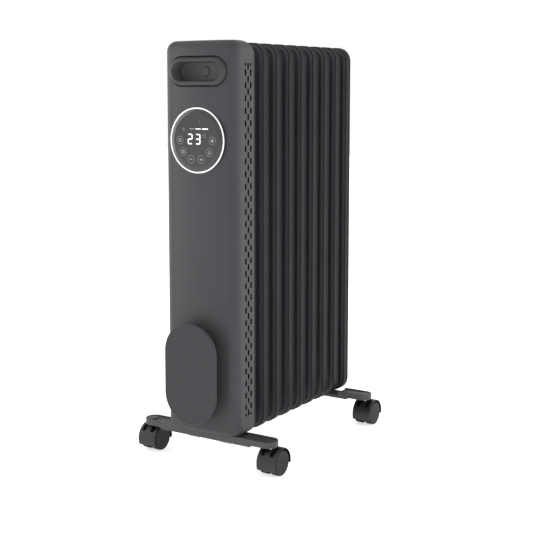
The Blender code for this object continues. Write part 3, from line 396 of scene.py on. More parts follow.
def finish_mesh(piece: bpy.types.Object, angle: float = EDGE_ANGLE) -> None:
    """Weld a mesh's doubles, turn its faces outwards and shade it smooth between its edges."""
    with editing(piece):
        bpy.ops.mesh.select_all(action="SELECT")
        bpy.ops.mesh.remove_doubles(threshold=1e-6)
        bpy.ops.mesh.dissolve_degenerate(threshold=1e-6)
        bpy.ops.mesh.normals_make_consistent(inside=False)
    solo(piece)
    bpy.ops.object.shade_smooth_by_angle(angle=angle)


def even_normals(piece: bpy.types.Object) -> None:
    """Let large flat faces keep their own normals beside small rounded ones."""
    solo(piece)
    modifier = piece.modifiers.new("even normals", "WEIGHTED_NORMAL")
    modifier.weight = 90
    modifier.keep_sharp = True
    bpy.ops.object.modifier_apply(modifier=modifier.name)


# ---------------------------------------------------------------- finishes


@dataclass(frozen=True)
class Finish:
    """A solid finish: base colour with slow mottling, fine grain, and lighter worn edges."""

    name: str
    color: tuple[float, float, float]
    roughness: float
    metallic: float = 0.0
    grain: float = 2400.0           # how fine the grain is, in cells per metre
    grain_depth: float = 0.00003
    mottle: float = 0.08            # how far the colour drifts, as a share
    edge: float = 0.25              # how much lighter the edges are, as a share
    spread: float = 0.08            # how far the roughness drifts
    coat: float = 0.0
    specular: float = 0.4
    stretch: tuple[float, float, float] = (1.0, 1.0, 1.0)

    def material(self) -> bpy.types.Material:
        """The node material of this finish, made on first use."""
        found = bpy.data.materials.get(self.name)
        return found or self.build()

    def build(self) -> bpy.types.Material:
        """Build the node tree.

        Returns:
            The new material.
        """
        material = bpy.data.materials.new(self.name)
        material.use_nodes = True
        tree = material.node_tree
        make, link = tree.nodes.new, tree.links.new
        shader = tree.nodes["Principled BSDF"]
        shader.inputs["Metallic"].default_value = self.metallic
        shader.inputs["Coat Weight"].default_value = self.coat
        shader.inputs["Coat Roughness"].default_value = COAT_ROUGHNESS
        shader.inputs["Specular IOR Level"].default_value = self.specular

        where = make("ShaderNodeTexCoord")
        mapping = make("ShaderNodeMapping")
        mapping.inputs["Scale"].default_value = self.stretch
        link(where.outputs["Object"], mapping.inputs["Vector"])

        slow = self.noise(tree, mapping, 9.0, 3.0)
        grain = self.noise(tree, mapping, self.grain, 2.0)
        speck = self.noise(tree, mapping, self.grain / 7.0, 4.0)

        tint = make("ShaderNodeMapRange")
        tint.inputs["From Min"].default_value = 0.3
        tint.inputs["From Max"].default_value = 0.7
        tint.inputs["To Min"].default_value = 1.0 - self.mottle
        tint.inputs["To Max"].default_value = 1.0 + self.mottle
        link(slow.outputs["Fac"], tint.inputs["Value"])

        fleck = make("ShaderNodeMapRange")
        fleck.inputs["From Min"].default_value = 0.25
        fleck.inputs["From Max"].default_value = 0.75
        fleck.inputs["To Min"].default_value = 1.0 - self.mottle / 2
        fleck.inputs["To Max"].default_value = 1.0 + self.mottle / 2
        link(speck.outputs["Fac"], fleck.inputs["Value"])

        wear = self.edge_mask(tree)
        lift = make("ShaderNodeMapRange")
        lift.inputs["To Min"].default_value = 1.0
        lift.inputs["To Max"].default_value = 1.0 + self.edge
        link(wear, lift.inputs["Value"])

        share = make("ShaderNodeMath")
        share.operation = "MULTIPLY"
        link(tint.outputs["Result"], share.inputs[0])
        link(fleck.outputs["Result"], share.inputs[1])
        total = make("ShaderNodeMath")
        total.operation = "MULTIPLY"
        link(share.outputs["Value"], total.inputs[0])
        link(lift.outputs["Result"], total.inputs[1])

        scaled = make("ShaderNodeVectorMath")
        scaled.operation = "SCALE"
        scaled.inputs[0].default_value = self.color
        link(total.outputs["Value"], scaled.inputs["Scale"])
        link(scaled.outputs["Vector"], shader.inputs["Base Color"])

        dull = make("ShaderNodeMapRange")
        dull.inputs["From Min"].default_value = 0.3
        dull.inputs["From Max"].default_value = 0.7
        dull.inputs["To Min"].default_value = max(0.02, self.roughness - self.spread)
        dull.inputs["To Max"].default_value = min(1.0, self.roughness + self.spread)
        link(speck.outputs["Fac"], dull.inputs["Value"])
        link(dull.outputs["Result"], shader.inputs["Roughness"])

        bump = make("ShaderNodeBump")
        bump.inputs["Strength"].default_value = 0.6
        bump.inputs["Distance"].default_value = self.grain_depth
        link(grain.outputs["Fac"], bump.inputs["Height"])
        link(bump.outputs["Normal"], shader.inputs["Normal"])
        return material

    @staticmethod
    def noise(tree: bpy.types.NodeTree, mapping: bpy.types.Node, scale: float,
              detail: float) -> bpy.types.Node:
        """A noise texture on the object's own coordinates.

        Args:
            tree: the material's node tree.
            mapping: the node that gives the coordinates.
            scale: cells per metre.
            detail: how many octaves it has.

        Returns:
            The noise node.
        """
        node = tree.nodes.new("ShaderNodeTexNoise")
        node.inputs["Scale"].default_value = scale
        node.inputs["Detail"].default_value = detail
        node.inputs["Roughness"].default_value = 0.55
        tree.links.new(mapping.outputs["Vector"], node.inputs["Vector"])
        return node

    @staticmethod
    def edge_mask(tree: bpy.types.NodeTree) -> bpy.types.NodeSocket:
        """A mask that is high on convex edges.

        Args:
            tree: the material's node tree.

        Returns:
            The socket that carries it.
        """
        geometry = tree.nodes.new("ShaderNodeNewGeometry")
        bevel = tree.nodes.new("ShaderNodeBevel")
        bevel.samples = 3
        bevel.inputs["Radius"].default_value = 0.0007
        dot = tree.nodes.new("ShaderNodeVectorMath")
        dot.operation = "DOT_PRODUCT"
        tree.links.new(bevel.outputs["Normal"], dot.inputs[0])
        tree.links.new(geometry.outputs["Normal"], dot.inputs[1])
        mask = tree.nodes.new("ShaderNodeMapRange")
        mask.inputs["From Min"].default_value = 1.0
        mask.inputs["From Max"].default_value = 0.8
        tree.links.new(dot.outputs["Value"], mask.inputs["Value"])
        return mask.outputs["Result"]


@dataclass(frozen=True)
class Glow(Finish):
    """A lit symbol: a dim base with a steady glow that varies a little from place to place."""

    strength: float = 1.0

    def build(self) -> bpy.types.Material:
        """Build the finish and add its glow.

        Returns:
            The new material.
        """
        material = super().build()
        shader = material.node_tree.nodes["Principled BSDF"]
        shader.inputs["Emission Color"].default_value = (*self.color, 1.0)
        shader.inputs["Emission Strength"].default_value = self.strength
        return material


COAT = Finish("charcoal_powder_coat", (0.0420, 0.0408, 0.0462), 0.52, specular=0.28, grain=1900.0,
              grain_depth=0.00003, mottle=0.03, edge=0.10, spread=0.05)
# Near-black painted shade: it lines the housing's inside, its side slots, the grooves round the
# handle and the display, the caster hoods' pockets and what the housing covers of the first fin.
PAINTED_SHADE_LINING = Finish("painted_shade_lining", (0.004, 0.004, 0.004), 0.80, specular=0.05, edge=0.0)
# A fin's one coat is given three tones by region, set and not measured, as painted light and
# shade: the rim's side darkened as painted shade, its rolls and beads lightened as a painted
# highlight, and the web lightened as painted light in the gaps between the fins. They make the
# stack's lines softer than one even coat does.
FIN_SIDE_PAINTED_SHADE = Finish("fin_rim_painted_shade", (0.0085, 0.0082, 0.0096), 0.55, grain=1900.0,
                  mottle=0.08, edge=0.0, specular=0.16)
FIN_ROLL_PAINTED_HIGHLIGHT = Finish("fin_roll_painted_highlight", (0.0400, 0.0392, 0.0430), 0.45, grain=1900.0,
                  mottle=0.05, edge=0.0, specular=0.40)
FIN_WEB_PAINTED_LIGHT = Finish("fin_web_painted_light", (0.0580, 0.0565, 0.0660), 0.50, grain=1900.0,
                 mottle=0.06, edge=0.0, specular=0.30)
BAR_COAT = Finish("foot_bar_coat", (0.0470, 0.0460, 0.0495), 0.50, grain=1900.0,
                  grain_depth=0.00003, mottle=0.04, edge=0.15)
PLASTIC = Finish("charcoal_moulding", (0.0350, 0.0340, 0.0388), 0.56, grain=2600.0,
                 grain_depth=0.00004, mottle=0.03, edge=0.15, specular=0.25)
CUP = Finish("handle_plastic", (0.0440, 0.0440, 0.0425), 0.52, grain=2600.0,
             grain_depth=0.00004, mottle=0.03, edge=0.10, specular=0.25)
# The handle's plastic lightened as painted light, for the grip's recess and the button in it, where
# the recess shades them.
CUP_PAINTED_LIGHT = Finish("handle_plastic_painted_light", (0.0900, 0.0895, 0.0868), 0.52, grain=2600.0,
                    grain_depth=0.00004, mottle=0.03, edge=0.0, specular=0.25)
BLACK = Finish("black_moulding", (0.0130, 0.0125, 0.0155), 0.40, grain=2600.0,
               grain_depth=0.00004, mottle=0.06, edge=0.3)
DISC = Finish("wheel_disc_moulding", (0.0060, 0.0058, 0.0070), 0.50, grain=2600.0,
              grain_depth=0.00003, mottle=0.05, edge=0.3, specular=0.22)
TREAD = Finish("wheel_tread", (0.0030, 0.0030, 0.0035), 0.62, grain=1800.0,
               grain_depth=0.00006, mottle=0.15, edge=0.4, specular=0.2)
ZINC = Finish("zinc_plate", (0.50, 0.51, 0.55), 0.30, 1.0, 900.0, 0.00002, 0.08, 0.1,
              stretch=(1.0, 1.0, 0.2))
BRIGHT = Finish("bright_ring_plate", (0.86, 0.86, 0.88), 0.22, 0.6, 1500.0, 0.00001, 0.03,
                0.05, 0.05)
GLASS = Finish("smoked_lens", (0.034, 0.0335, 0.0350), 0.16, grain=500.0,
               grain_depth=0.000003, mottle=0.04, edge=0.05, spread=0.03, coat=0.15)
BOARD = Finish("solder_mask", (0.01, 0.07, 0.03), 0.45, grain=700.0, mottle=0.2)
RUBBER = Finish("matt_rubber", (0.008, 0.008, 0.008), 0.75, grain=1500.0, mottle=0.12)
TUBE = Finish("tinted_heater_steel", (0.30, 0.26, 0.22), 0.38, 1.0, 800.0, 0.00003, 0.25, 0.1)
LIT = Glow("lit_symbol", (0.90, 0.90, 0.95), 0.5, grain=900.0, mottle=0.03, edge=0.0,
           strength=0.85)
SOFT = Glow("soft_symbol", (0.40, 0.40, 0.44), 0.5, grain=900.0, mottle=0.05, edge=0.0,
            strength=0.35)
FAINT = Glow("faint_symbol", (0.20, 0.20, 0.22), 0.5, grain=900.0, mottle=0.05, edge=0.0,
             strength=0.22)

NODE_FINISH: dict[str, Finish] = {
    "painted_steel": COAT, "charcoal_plastic": PLASTIC, "black_plastic": BLACK,
    "zinc_steel": ZINC, "bright_ring": BRIGHT, "dark_lens": GLASS, "circuit_board": BOARD,
    "rubber": RUBBER, "element_steel": TUBE,
}


def paint(piece: bpy.types.Object, finish: Finish) -> None:
    """Give a whole piece one finish."""
    piece.data.materials.clear()
    piece.data.materials.append(finish.material())


def paint_where(piece: bpy.types.Object, finish: Finish,
                wanted: Callable[[Vector, Vector], bool]) -> None:
    """Give the faces that are wanted a finish of their own.

    Args:
        piece: the piece, which already has a first finish.
        finish: the finish of the wanted faces.
        wanted: a test of a face's centre and normal.
    """
    material = finish.material()
    if material.name not in piece.data.materials:
        piece.data.materials.append(material)
    number = piece.data.materials.find(material.name)
    for face in piece.data.polygons:
        if wanted(face.center, face.normal):
            face.material_index = number


def hand_over(piece: bpy.types.Object, body: str, finish: Finish,
              nodes: Sequence[str] = (), angle: float = EDGE_ANGLE) -> bpy.types.Object:
    """Finish a piece's mesh, paint it and set it in the frame.

    Args:
        piece: the new piece.
        body: the CAD body it moves with.
        finish: its finish.
        nodes: the CAD nodes it stands for.
        angle: edges sharper than this stay crisp.

    Returns:
        The piece.
    """
    finish_mesh(piece, angle)
    even_normals(piece)
    if not piece.data.materials:
        paint(piece, finish)
    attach(piece, body)
    if nodes:
        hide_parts(*nodes)
    log.info("%s: %d faces, rides on %s", piece.name, len(piece.data.polygons), body)
    return piece


# ---------------------------------------------------------------- places from the frame


@dataclass(frozen=True)
class Layout:
    """Places that several sub-assemblies share, read from the CAD boxes."""

    crown: float = 0.0043           # bulge of the housing's front face

    @property
    def low(self) -> Vector:
        """The housing's lowest corner."""
        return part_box("housing")[0]

    @property
    def high(self) -> Vector:
        """The housing's highest corner."""
        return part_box("housing")[1]

    @property
    def datum(self) -> float:
        """The plane of the housing's front corners, along Y."""
        return self.low.y + self.crown

    @staticmethod
    def centre(node: str) -> Vector:
        """The middle of a CAD node's box."""
        low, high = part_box(node)
        return (low + high) / 2


LAYOUT = Layout()


# ---------------------------------------------------------------- housing


@dataclass
class Housing:
    """The sheet housing over the first fin, crowned in front and slotted at its sides."""

    wall: float = 0.0016
    corner: float = 0.0180
    top_round: float = 0.0172
    bottom_round: float = 0.0080
    rear_top_round: float = 0.0220
    rear_bottom_round: float = 0.0150
    strips: int = 28                # flats across the crowned front
    slot_width: float = 0.0042
    slot_height: float = 0.0093
    short_slot: float = 0.0040
    slot_round: float = 0.0014
    slot_bottom: float = 0.0830
    slot_top_drop: float = 0.0340
    slot_rows: int = 28
    columns: tuple[float, float, float] = (0.0272, 0.0342, 0.0412)
    groove: float = 0.0012          # dark line round the handle's bezel
    display_gap: float = 0.0006     # dark line round the display's ring

    def crown_at(self, x: float, half: float) -> float:
        """How far the front face bulges at a place across it."""
        return LAYOUT.crown * (1.0 - (x / half) ** 2) if abs(x) < half else 0.0

    def form(self, name: str, inset: float) -> bpy.types.Object:
        """The housing's outer form, or with an inset the hollow inside it.

        Args:
            name: the piece's name.
            inset: how far inside the outer form it lies.

        Returns:
            The form, which runs past the housing's rear.
        """
        low, high, datum = LAYOUT.low, LAYOUT.high, LAYOUT.datum
        front = datum + inset
        piece = block(name, (low.x + inset, front, low.z + inset),
                      (high.x - inset, high.y + 2 * CUT_REACH, high.z - inset))
        round_corners(piece, Axis.Z, self.corner - inset, 12,
                      lambda middle: middle.y < front + 1e-5)
        half = high.x - self.corner
        with editing(piece):
            for number in range(1, self.strips):
                bpy.ops.mesh.select_all(action="SELECT")
                x = half * (2.0 * number / self.strips - 1.0)
                bpy.ops.mesh.bisect(plane_co=(x, 0.0, 0.0), plane_no=(1.0, 0.0, 0.0))
        for number in range(self.strips + 1):
            x = half * (2.0 * number / self.strips - 1.0)
            pick_points(piece, lambda p, x=x: abs(p.x - x) < 1e-5 and p.y < front + 1e-5)
            with editing(piece):
                bpy.ops.transform.translate(value=(0.0, -self.crown_at(x, half), 0.0))
        for side, radius in ((1.0, self.top_round), (-1.0, self.bottom_round)):
            pick_faces(piece, lambda centre, normal, side=side: normal.z * side > 0.999)
            with editing(piece):
                bpy.ops.mesh.region_to_loop()
                bpy.ops.mesh.bevel(offset=radius - inset, offset_type="OFFSET", segments=10,
                                   profile=0.5, affect="EDGES", clamp_overlap=True)
        finish_mesh(piece)
        return piece

    def profile(self, name: str, inset: float) -> bpy.types.Object:
        """A block with the housing's outline seen from the side.

        Args:
            name: the piece's name.
            inset: how far inside the outer outline it lies.

        Returns:
            The block, wider than the housing.
        """
        low, high = LAYOUT.low, LAYOUT.high
        rear, middle_z = high.y - inset, (low.z + high.z) / 2
        piece = block(name, (low.x - CUT_REACH, low.y - CUT_REACH, low.z - GAP),
                      (high.x + CUT_REACH, rear, high.z - inset + (0.0 if inset else GAP)))
        round_corners(piece, Axis.X, self.rear_top_round - inset, 14,
                      lambda m: m.y > rear - 1e-5 and m.z > middle_z)
        if not inset:
            round_corners(piece, Axis.X, self.rear_bottom_round, 10,
                          lambda m: m.y > rear - 1e-5 and m.z < middle_z)
        return piece

    def slot_tool(self, y: float, bottoms: Sequence[float], height: float) -> bpy.types.Object:
        """Slots of one height in one column, as one cutting tool through both sides.

        Args:
            y: the column's place along Y.
            bottoms: the lower end of each slot.
            height: the slots' height.

        Returns:
            The tool.
        """
        reach = LAYOUT.high.x + CUT_REACH
        first = block("slot", (-reach, y - self.slot_width / 2, 0.0),
                      (reach, y + self.slot_width / 2, height))
        round_corners(first, Axis.X, self.slot_round, 4)
        return copies(first, [(0.0, 0.0, bottom) for bottom in bottoms])

    def vents(self) -> bpy.types.Object:
        """All the side slots as one cutting tool.

        Returns:
            The tool.
        """
        top = LAYOUT.high.z - self.slot_top_drop
        pitch = (top - self.slot_bottom - self.slot_height) / self.slot_rows
        tools = []
        for number, place in enumerate(self.columns):
            y = LAYOUT.datum + place
            outer = number != 1
            count = self.slot_rows if outer else self.slot_rows + 1
            start = self.slot_bottom + (pitch / 2 if outer else 0.0)
            rows = [start + pitch * row for row in range(count)]
            tools.append(self.slot_tool(y, rows, self.slot_height))
            if outer:
                ends = (self.slot_bottom, top - self.short_slot)
                tools.append(self.slot_tool(y, ends, self.short_slot))
        return join(tools)

    def build(self) -> None:
        """Build the housing and put it in the frame."""
        low, high, datum = LAYOUT.low, LAYOUT.high, LAYOUT.datum
        shell = self.form("housing_shell", 0.0)
        paint(shell, COAT)
        use_tool(shell, self.profile("outline", 0.0), Cut.KEEP)
        hollow = self.form("hollow", self.wall)
        use_tool(hollow, self.profile("hollow_outline", self.wall), Cut.KEEP)
        # The hollow's faces take near-black painted shade, and so do the handle's opening, the
        # display's hole and the side slots below.
        use_tool(shell, hollow, Cut.TAKE, PAINTED_SHADE_LINING)
        mouth = high.x - self.wall
        use_tool(shell, block("mouth", (-mouth, high.y - self.rear_top_round,
                                        low.z + self.bottom_round),
                              (mouth, high.y + CUT_REACH, high.z - self.rear_top_round)),
                 Cut.TAKE)
        fin_low, fin_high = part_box("fin_1")
        pocket = block("pocket", (fin_low.x - GAP, high.y - FinStack.lap - GAP, fin_low.z - GAP),
                       (fin_high.x + GAP, high.y + CUT_REACH, fin_high.z + GAP))
        round_corners(pocket, Axis.Y, FinStack.corner + GAP, 10)
        use_tool(shell, pocket, Cut.TAKE)

        cup = LAYOUT.centre("handle_cup")
        bezel = Handle()
        opening = stadium("opening", (0.0, low.y - CUT_REACH, cup.z),
                          bezel.length + 2 * self.groove, bezel.height + 2 * self.groove,
                          2 * CUT_REACH, 20)
        use_tool(shell, opening, Cut.TAKE, PAINTED_SHADE_LINING)
        ring = LAYOUT.centre("display_ring")
        dial = drum("dial_hole", (0.0, low.y - CUT_REACH, ring.z), Axis.Y, 2 * CUT_REACH,
                    Display.ring_radius + self.display_gap, 96)
        use_tool(shell, dial, Cut.TAKE, PAINTED_SHADE_LINING)
        gland = LAYOUT.centre("cord_gland")
        use_tool(shell, drum("gland_hole", (0.0, low.y - CUT_REACH, gland.z), Axis.Y,
                             2 * CUT_REACH, CordWinder.gland_radius + GAP, 32), Cut.TAKE)
        # The slots' walls are lined with near-black painted shade.
        use_tool(shell, self.vents(), Cut.TAKE, PAINTED_SHADE_LINING)
        hand_over(shell, HEATER, COAT, ["housing"], math.radians(40))
        log.info("housing datum at %.4f", datum)


# ---------------------------------------------------------------- handle and button


@dataclass
class Handle:
    """The recessed handle with its rolled bezel, and the power button in its back wall."""

    length: float = 0.1024
    height: float = 0.0438
    grip_length: float = 0.0880
    grip_height: float = 0.0290
    proud: float = 0.0065           # the bezel's crest in front of the datum
    skirt: float = 0.0012           # the bezel's outer edge behind the datum
    crest_round: float = 0.0012
    floor_round: float = 0.0035
    back: float = 0.0200            # the grip's back wall behind the datum
    rear_wall: float = 0.0020
    button_radius: float = 0.0070
    button_proud: float = 0.0015
    button_groove: float = 0.0005
    lip_place: float = 0.0033       # the flange's front behind the datum
    lip_reach: float = 0.0027
    lip_thickness: float = 0.0014
    lip_clearance: float = 0.0030   # how much wider its opening is than the grip
    turns: int = 24                 # points round each of the flange's ends

    def lip(self, level: float) -> bpy.types.Object:
        """The flange behind the housing's wall, which closes the groove round the bezel.

        Args:
            level: the height of the handle's middle.

        Returns:
            The flange, with the grip's opening through it.
        """
        place = (0.0, LAYOUT.datum + self.lip_place, level)
        ring = stadium("lip", place, self.length + 2 * self.lip_reach,
                       self.height + 2 * self.lip_reach, self.lip_thickness, self.turns)
        bore = stadium("lip_bore", (0.0, place[1] - CUT_REACH, level),
                       self.grip_length + self.lip_clearance,
                       self.grip_height + self.lip_clearance, 3 * CUT_REACH, self.turns)
        use_tool(ring, bore, Cut.TAKE)
        return ring

    def build(self) -> None:
        """Build the cup and the button."""
        level = LAYOUT.centre("handle_cup").z
        datum = LAYOUT.datum
        start = datum + self.skirt
        cup = stadium("handle_cup_shell", (0.0, start, level), self.length, self.height,
                      0.0030, 24)
        band = (self.length - self.grip_length) / 2
        roll = band - self.crest_round - 0.0002
        rise = self.skirt + self.proud
        drop = self.proud + self.back
        steps = arc(roll, rise, 9, False) + [(0.0002, 0.0)]
        steps += arc(self.crest_round, -self.crest_round, 4, True)
        steps += [(0.0004, -(drop - self.crest_round - self.floor_round))]
        steps += arc(self.floor_round, -self.floor_round, 5, False)
        carve(cup, (0.0, -1.0, 0.0), steps)
        carve(cup, (0.0, 1.0, 0.0), [((self.length - self.grip_length) / 2 - 0.002, 0.0),
                                     (0.0, self.back + self.rear_wall - self.skirt - 0.003)])
        hole = drum("button_hole", (0.0, datum + 0.010, level), Axis.Y, 0.02,
                    self.button_radius + self.button_groove, 64)
        use_tool(cup, hole, Cut.TAKE)
        use_tool(cup, self.lip(level), Cut.WELD)
        paint(cup, CUP)
        # The grip's inner walls and back take the lightened copy: painted light in the recess.
        inner = datum + self.lip_place
        paint_where(cup, CUP_PAINTED_LIGHT, lambda c, n: c.y > inner and abs(c.z - level)
                    < self.grip_height / 2 + 0.0002)
        hand_over(cup, HEATER, CUP, ["handle_cup"], math.radians(40))

        button = drum("power_button_cap", (0.0, datum + self.back + 0.0035, level), Axis.Y,
                      -(0.0035 + self.button_proud - 0.0006), self.button_radius, 64)
        carve(button, (0.0, -1.0, 0.0),
              arc(0.0006, 0.0006, 4, False) + [(0.0022, 0.0)] + arc(0.0012, -0.0002, 3, True))
        # The button takes the same lightened plastic, painted light in the recess.
        hand_over(button, "power_button", CUP_PAINTED_LIGHT, ["power_button"])


# ---------------------------------------------------------------- display


@dataclass
class Display:
    """The round display: bright ring, smoked lens and lit symbols."""

    ring_radius: float = 0.0497
    ring_band: float = 0.0028
    lens_gap: float = 0.0004
    lens_edge: float = 0.0060
    lens_proud: float = 0.0020
    icon_circle: float = 0.0297     # the touch symbols lie on this circle
    icon_radius: float = 0.0062
    film: float = 0.00012           # how thick a symbol is
    line: float = 0.0005            # how wide its lines are
    symbols: list[bpy.types.Object] = field(default_factory=list)

    @property
    def centre(self) -> Vector:
        """The middle of the ring."""
        return LAYOUT.centre("display_ring")

    @property
    def face(self) -> float:
        """The front of the lens, along Y."""
        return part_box("display_lens")[0].y

    def build(self) -> None:
        """Build the ring, the lens and the symbols."""
        self.build_ring()
        self.build_lens()
        self.build_digits()
        self.build_bars()
        self.build_touch_row()

    def build_ring(self) -> None:
        """Build the bright ring with its rounded band."""
        front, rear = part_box("display_ring")[0].y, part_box("display_ring")[1].y
        level = self.centre.z
        roll = 0.0008
        ring = drum("display_ring_band", (0.0, rear, level), Axis.Y, -(rear - front - roll),
                    self.ring_radius, 96)
        band = self.ring_band - 2 * roll
        steps = arc(roll, roll, 5, False) + [(band, 0.0)] + arc(roll, -roll, 5, True)
        steps += [(0.0, -0.0022)]
        carve(ring, (0.0, -1.0, 0.0), steps)
        paint(ring, BRIGHT)
        # The ring's outer side wall takes the charcoal coat instead of bright plate: painted shade,
        # a dark outline round the ring.
        side = self.ring_radius - 0.0003
        paint_where(ring, COAT, lambda c, n: abs(n.y) < 0.3
                    and math.hypot(c.x, c.z - level) > side)
        hand_over(ring, HEATER, BRIGHT, ["display_ring"])

    def build_lens(self) -> None:
        """Build the smoked lens with its sloping edge."""
        radius = self.ring_radius - self.ring_band - self.lens_gap
        base = self.face + self.lens_proud
        lens = drum("display_lens_glass", (0.0, base + 0.0015, self.centre.z), Axis.Y, -0.0018,
                    radius, 96)
        slope = self.lens_proud - 0.0003
        steps = [(0.0002, 0.0002), (0.0004, slope * 0.12)]
        run = self.lens_edge - 0.0012
        steps += [(run * 0.5, slope * 0.52 - 0.0001), (run * 0.5, slope * 0.30 - 0.0001)]
        steps += [(0.0006, slope * 0.06)]
        carve(lens, (0.0, -1.0, 0.0), steps)
        self.flatten(lens)
        hand_over(lens, HEATER, GLASS, ["display_lens"], math.radians(60))

    def flatten(self, lens: bpy.types.Object) -> None:
        """Move the lens's flat middle onto the CAD face's plane."""
        pick_cap(lens, Vector((0.0, -1.0, 0.0)))
        now = min(point.co.y for point in lens.data.vertices)
        with editing(lens):
            bpy.ops.transform.translate(value=(0.0, self.face - now, 0.0))

    def bar(self, x: float, z: float, length: float, width: float, upright: bool = False,
            pointed: bool = False, lit: Finish = SOFT) -> None:
        """Add one straight bar to the symbols.

        Args:
            x: its middle across, from the ring's middle.
            z: its middle upwards, from the ring's middle.
            length: its length.
            width: its width.
            upright: True if it runs along Z.
            pointed: True for pointed ends, False for round ones.
            lit: its finish.
        """
        size_x, size_z = (width, length) if upright else (length, width)
        y = self.face
        at = self.centre
        piece = block("symbol_bar", (at.x + x - size_x / 2, y - self.film, at.z + z - size_z / 2),
                      (at.x + x + size_x / 2, y - GAP / 10, at.z + z + size_z / 2))
        round_corners(piece, Axis.Y, width / 2 - 1e-5, 1 if pointed else 5)
        paint(piece, lit)
        self.symbols.append(piece)

    def hoop(self, x: float, z: float, radius: float, width: float, lit: Finish = SOFT,
             sides: int = 48) -> bpy.types.Object:
        """Add one thin ring to the symbols.

        Args:
            x: its middle across, from the ring's middle.
            z: its middle upwards, from the ring's middle.
            radius: its outer radius.
            width: the width of its line.
            lit: its finish.
            sides: how many flats it has.

        Returns:
            The ring.
        """
        at = self.centre
        place = (at.x + x, self.face - GAP / 10, at.z + z)
        piece = drum("symbol_hoop", place, Axis.Y, -(self.film - GAP / 10), radius, sides)
        bore = drum("symbol_bore", (place[0], place[1] + 0.001, place[2]), Axis.Y, -0.003,
                    radius - width, sides)
        use_tool(piece, bore, Cut.TAKE)
        paint(piece, lit)
        self.symbols.append(piece)
        return piece

    def gather(self, name: str) -> None:
        """Join the symbols made so far into one piece of the heater."""
        piece = join(self.symbols)
        piece.name = piece.data.name = name
        self.symbols = []
        hand_over(piece, HEATER, LIT)

    def build_digits(self) -> None:
        """Build the temperature in seven-segment digits, and the dim degree mark."""
        lit_segments = {"2": "abged", "3": "abgcd"}
        height, width, thick = 0.0156, 0.0088, 0.0016
        middle_z = 0.0020
        for digit, left in (("2", -0.0152), ("3", -0.0008)):
            x = left + width / 2
            run, side = width - thick, height / 2 - thick / 2
            places = {
                "a": (x, middle_z + side, run, False), "g": (x, middle_z, run, False),
                "d": (x, middle_z - side, run, False),
                "b": (x + run / 2, middle_z + side / 2, side, True),
                "f": (x - run / 2, middle_z + side / 2, side, True),
                "c": (x + run / 2, middle_z - side / 2, side, True),
                "e": (x - run / 2, middle_z - side / 2, side, True),
            }
            for name in lit_segments[digit]:
                px, pz, length, upright = places[name]
                self.bar(px, pz, length - 0.0002, thick, upright, True, LIT)
        self.hoop(0.0130, 0.0083, 0.0010, 0.0004, FAINT, 24)
        curl = self.hoop(0.0165, 0.0070, 0.0024, 0.0006, FAINT, 32)
        mouth = block("curl_mouth", (self.centre.x + 0.0173, self.face - 0.001,
                                     self.centre.z + 0.0058),
                      (self.centre.x + 0.0200, self.face + 0.001, self.centre.z + 0.0082))
        use_tool(curl, mouth, Cut.TAKE)
        self.gather("display_digits")

    def build_bars(self) -> None:
        """Build the three power bars and the small heat mark beside them."""
        level = 0.0173
        for x0, x1, width, lit in ((-0.0120, -0.0028, 0.0007, SOFT),
                                   (-0.0008, 0.0092, 0.0011, LIT),
                                   (0.0115, 0.0220, 0.0016, LIT)):
            self.bar((x0 + x1) / 2, level, x1 - x0, width, lit=lit)
        for number in range(3):
            x = -0.0246 + number * 0.0016
            self.bar(x, level, 0.0036, 0.0005, True, lit=FAINT)
        self.bar(-0.0230, level - 0.0026, 0.0050, 0.0005, lit=FAINT)
        self.hoop(0.0066, 0.0280, 0.0009, 0.0004, FAINT, 24)
        self.gather("display_bars")

    def build_touch_row(self) -> None:
        """Build the six touch symbols on their circle."""
        makers = (self.mark_power, self.mark_clock, self.mark_minus, self.mark_plus,
                  self.mark_drop, self.mark_settings)
        for number, maker in enumerate(makers):
            turn = math.radians(180.0 + 36.0 * number)
            x = self.icon_circle * math.cos(turn)
            z = self.icon_circle * math.sin(turn)
            self.hoop(x, z, self.icon_radius, 0.0005, FAINT, 56)
            maker(x, z)
        self.gather("display_touch_row")

    def mark_power(self, x: float, z: float) -> None:
        """A ring with a short bar through its top."""
        self.hoop(x, z, 0.0024, self.line)
        self.bar(x, z + 0.0020, 0.0024, self.line, True)

    def mark_clock(self, x: float, z: float) -> None:
        """A ring with two hands."""
        self.hoop(x, z, 0.0026, self.line)
        self.bar(x, z + 0.0007, 0.0016, self.line, True)
        self.bar(x + 0.0006, z, 0.0014, self.line)

    def mark_minus(self, x: float, z: float) -> None:
        """A level bar."""
        self.bar(x, z, 0.0048, self.line * 1.3)

    def mark_plus(self, x: float, z: float) -> None:
        """Two crossed bars."""
        self.bar(x, z, 0.0048, self.line * 1.3)
        self.bar(x, z, 0.0048, self.line * 1.3, True)

    def mark_drop(self, x: float, z: float) -> None:
        """A drop: a ring whose top is drawn up to a point."""
        drop = self.hoop(x, z - 0.0004, 0.0021, self.line, sides=32)
        at = self.centre
        crown = at.z + z + 0.0012
        pick_points(drop, lambda p: p.z > crown - 0.0004)
        with editing(drop):
            bpy.ops.transform.resize(value=(0.25, 1.0, 1.0),
                                     center_override=(at.x + x, self.face, crown))
            bpy.ops.transform.translate(value=(0.0, 0.0, 0.0011))

    def mark_settings(self, x: float, z: float) -> None:
        """A hexagon with a small ring in it."""
        self.hoop(x, z, 0.0029, self.line, sides=6)
        self.hoop(x, z, 0.0012, self.line * 0.8, sides=24)


# ---------------------------------------------------------------- cord winder


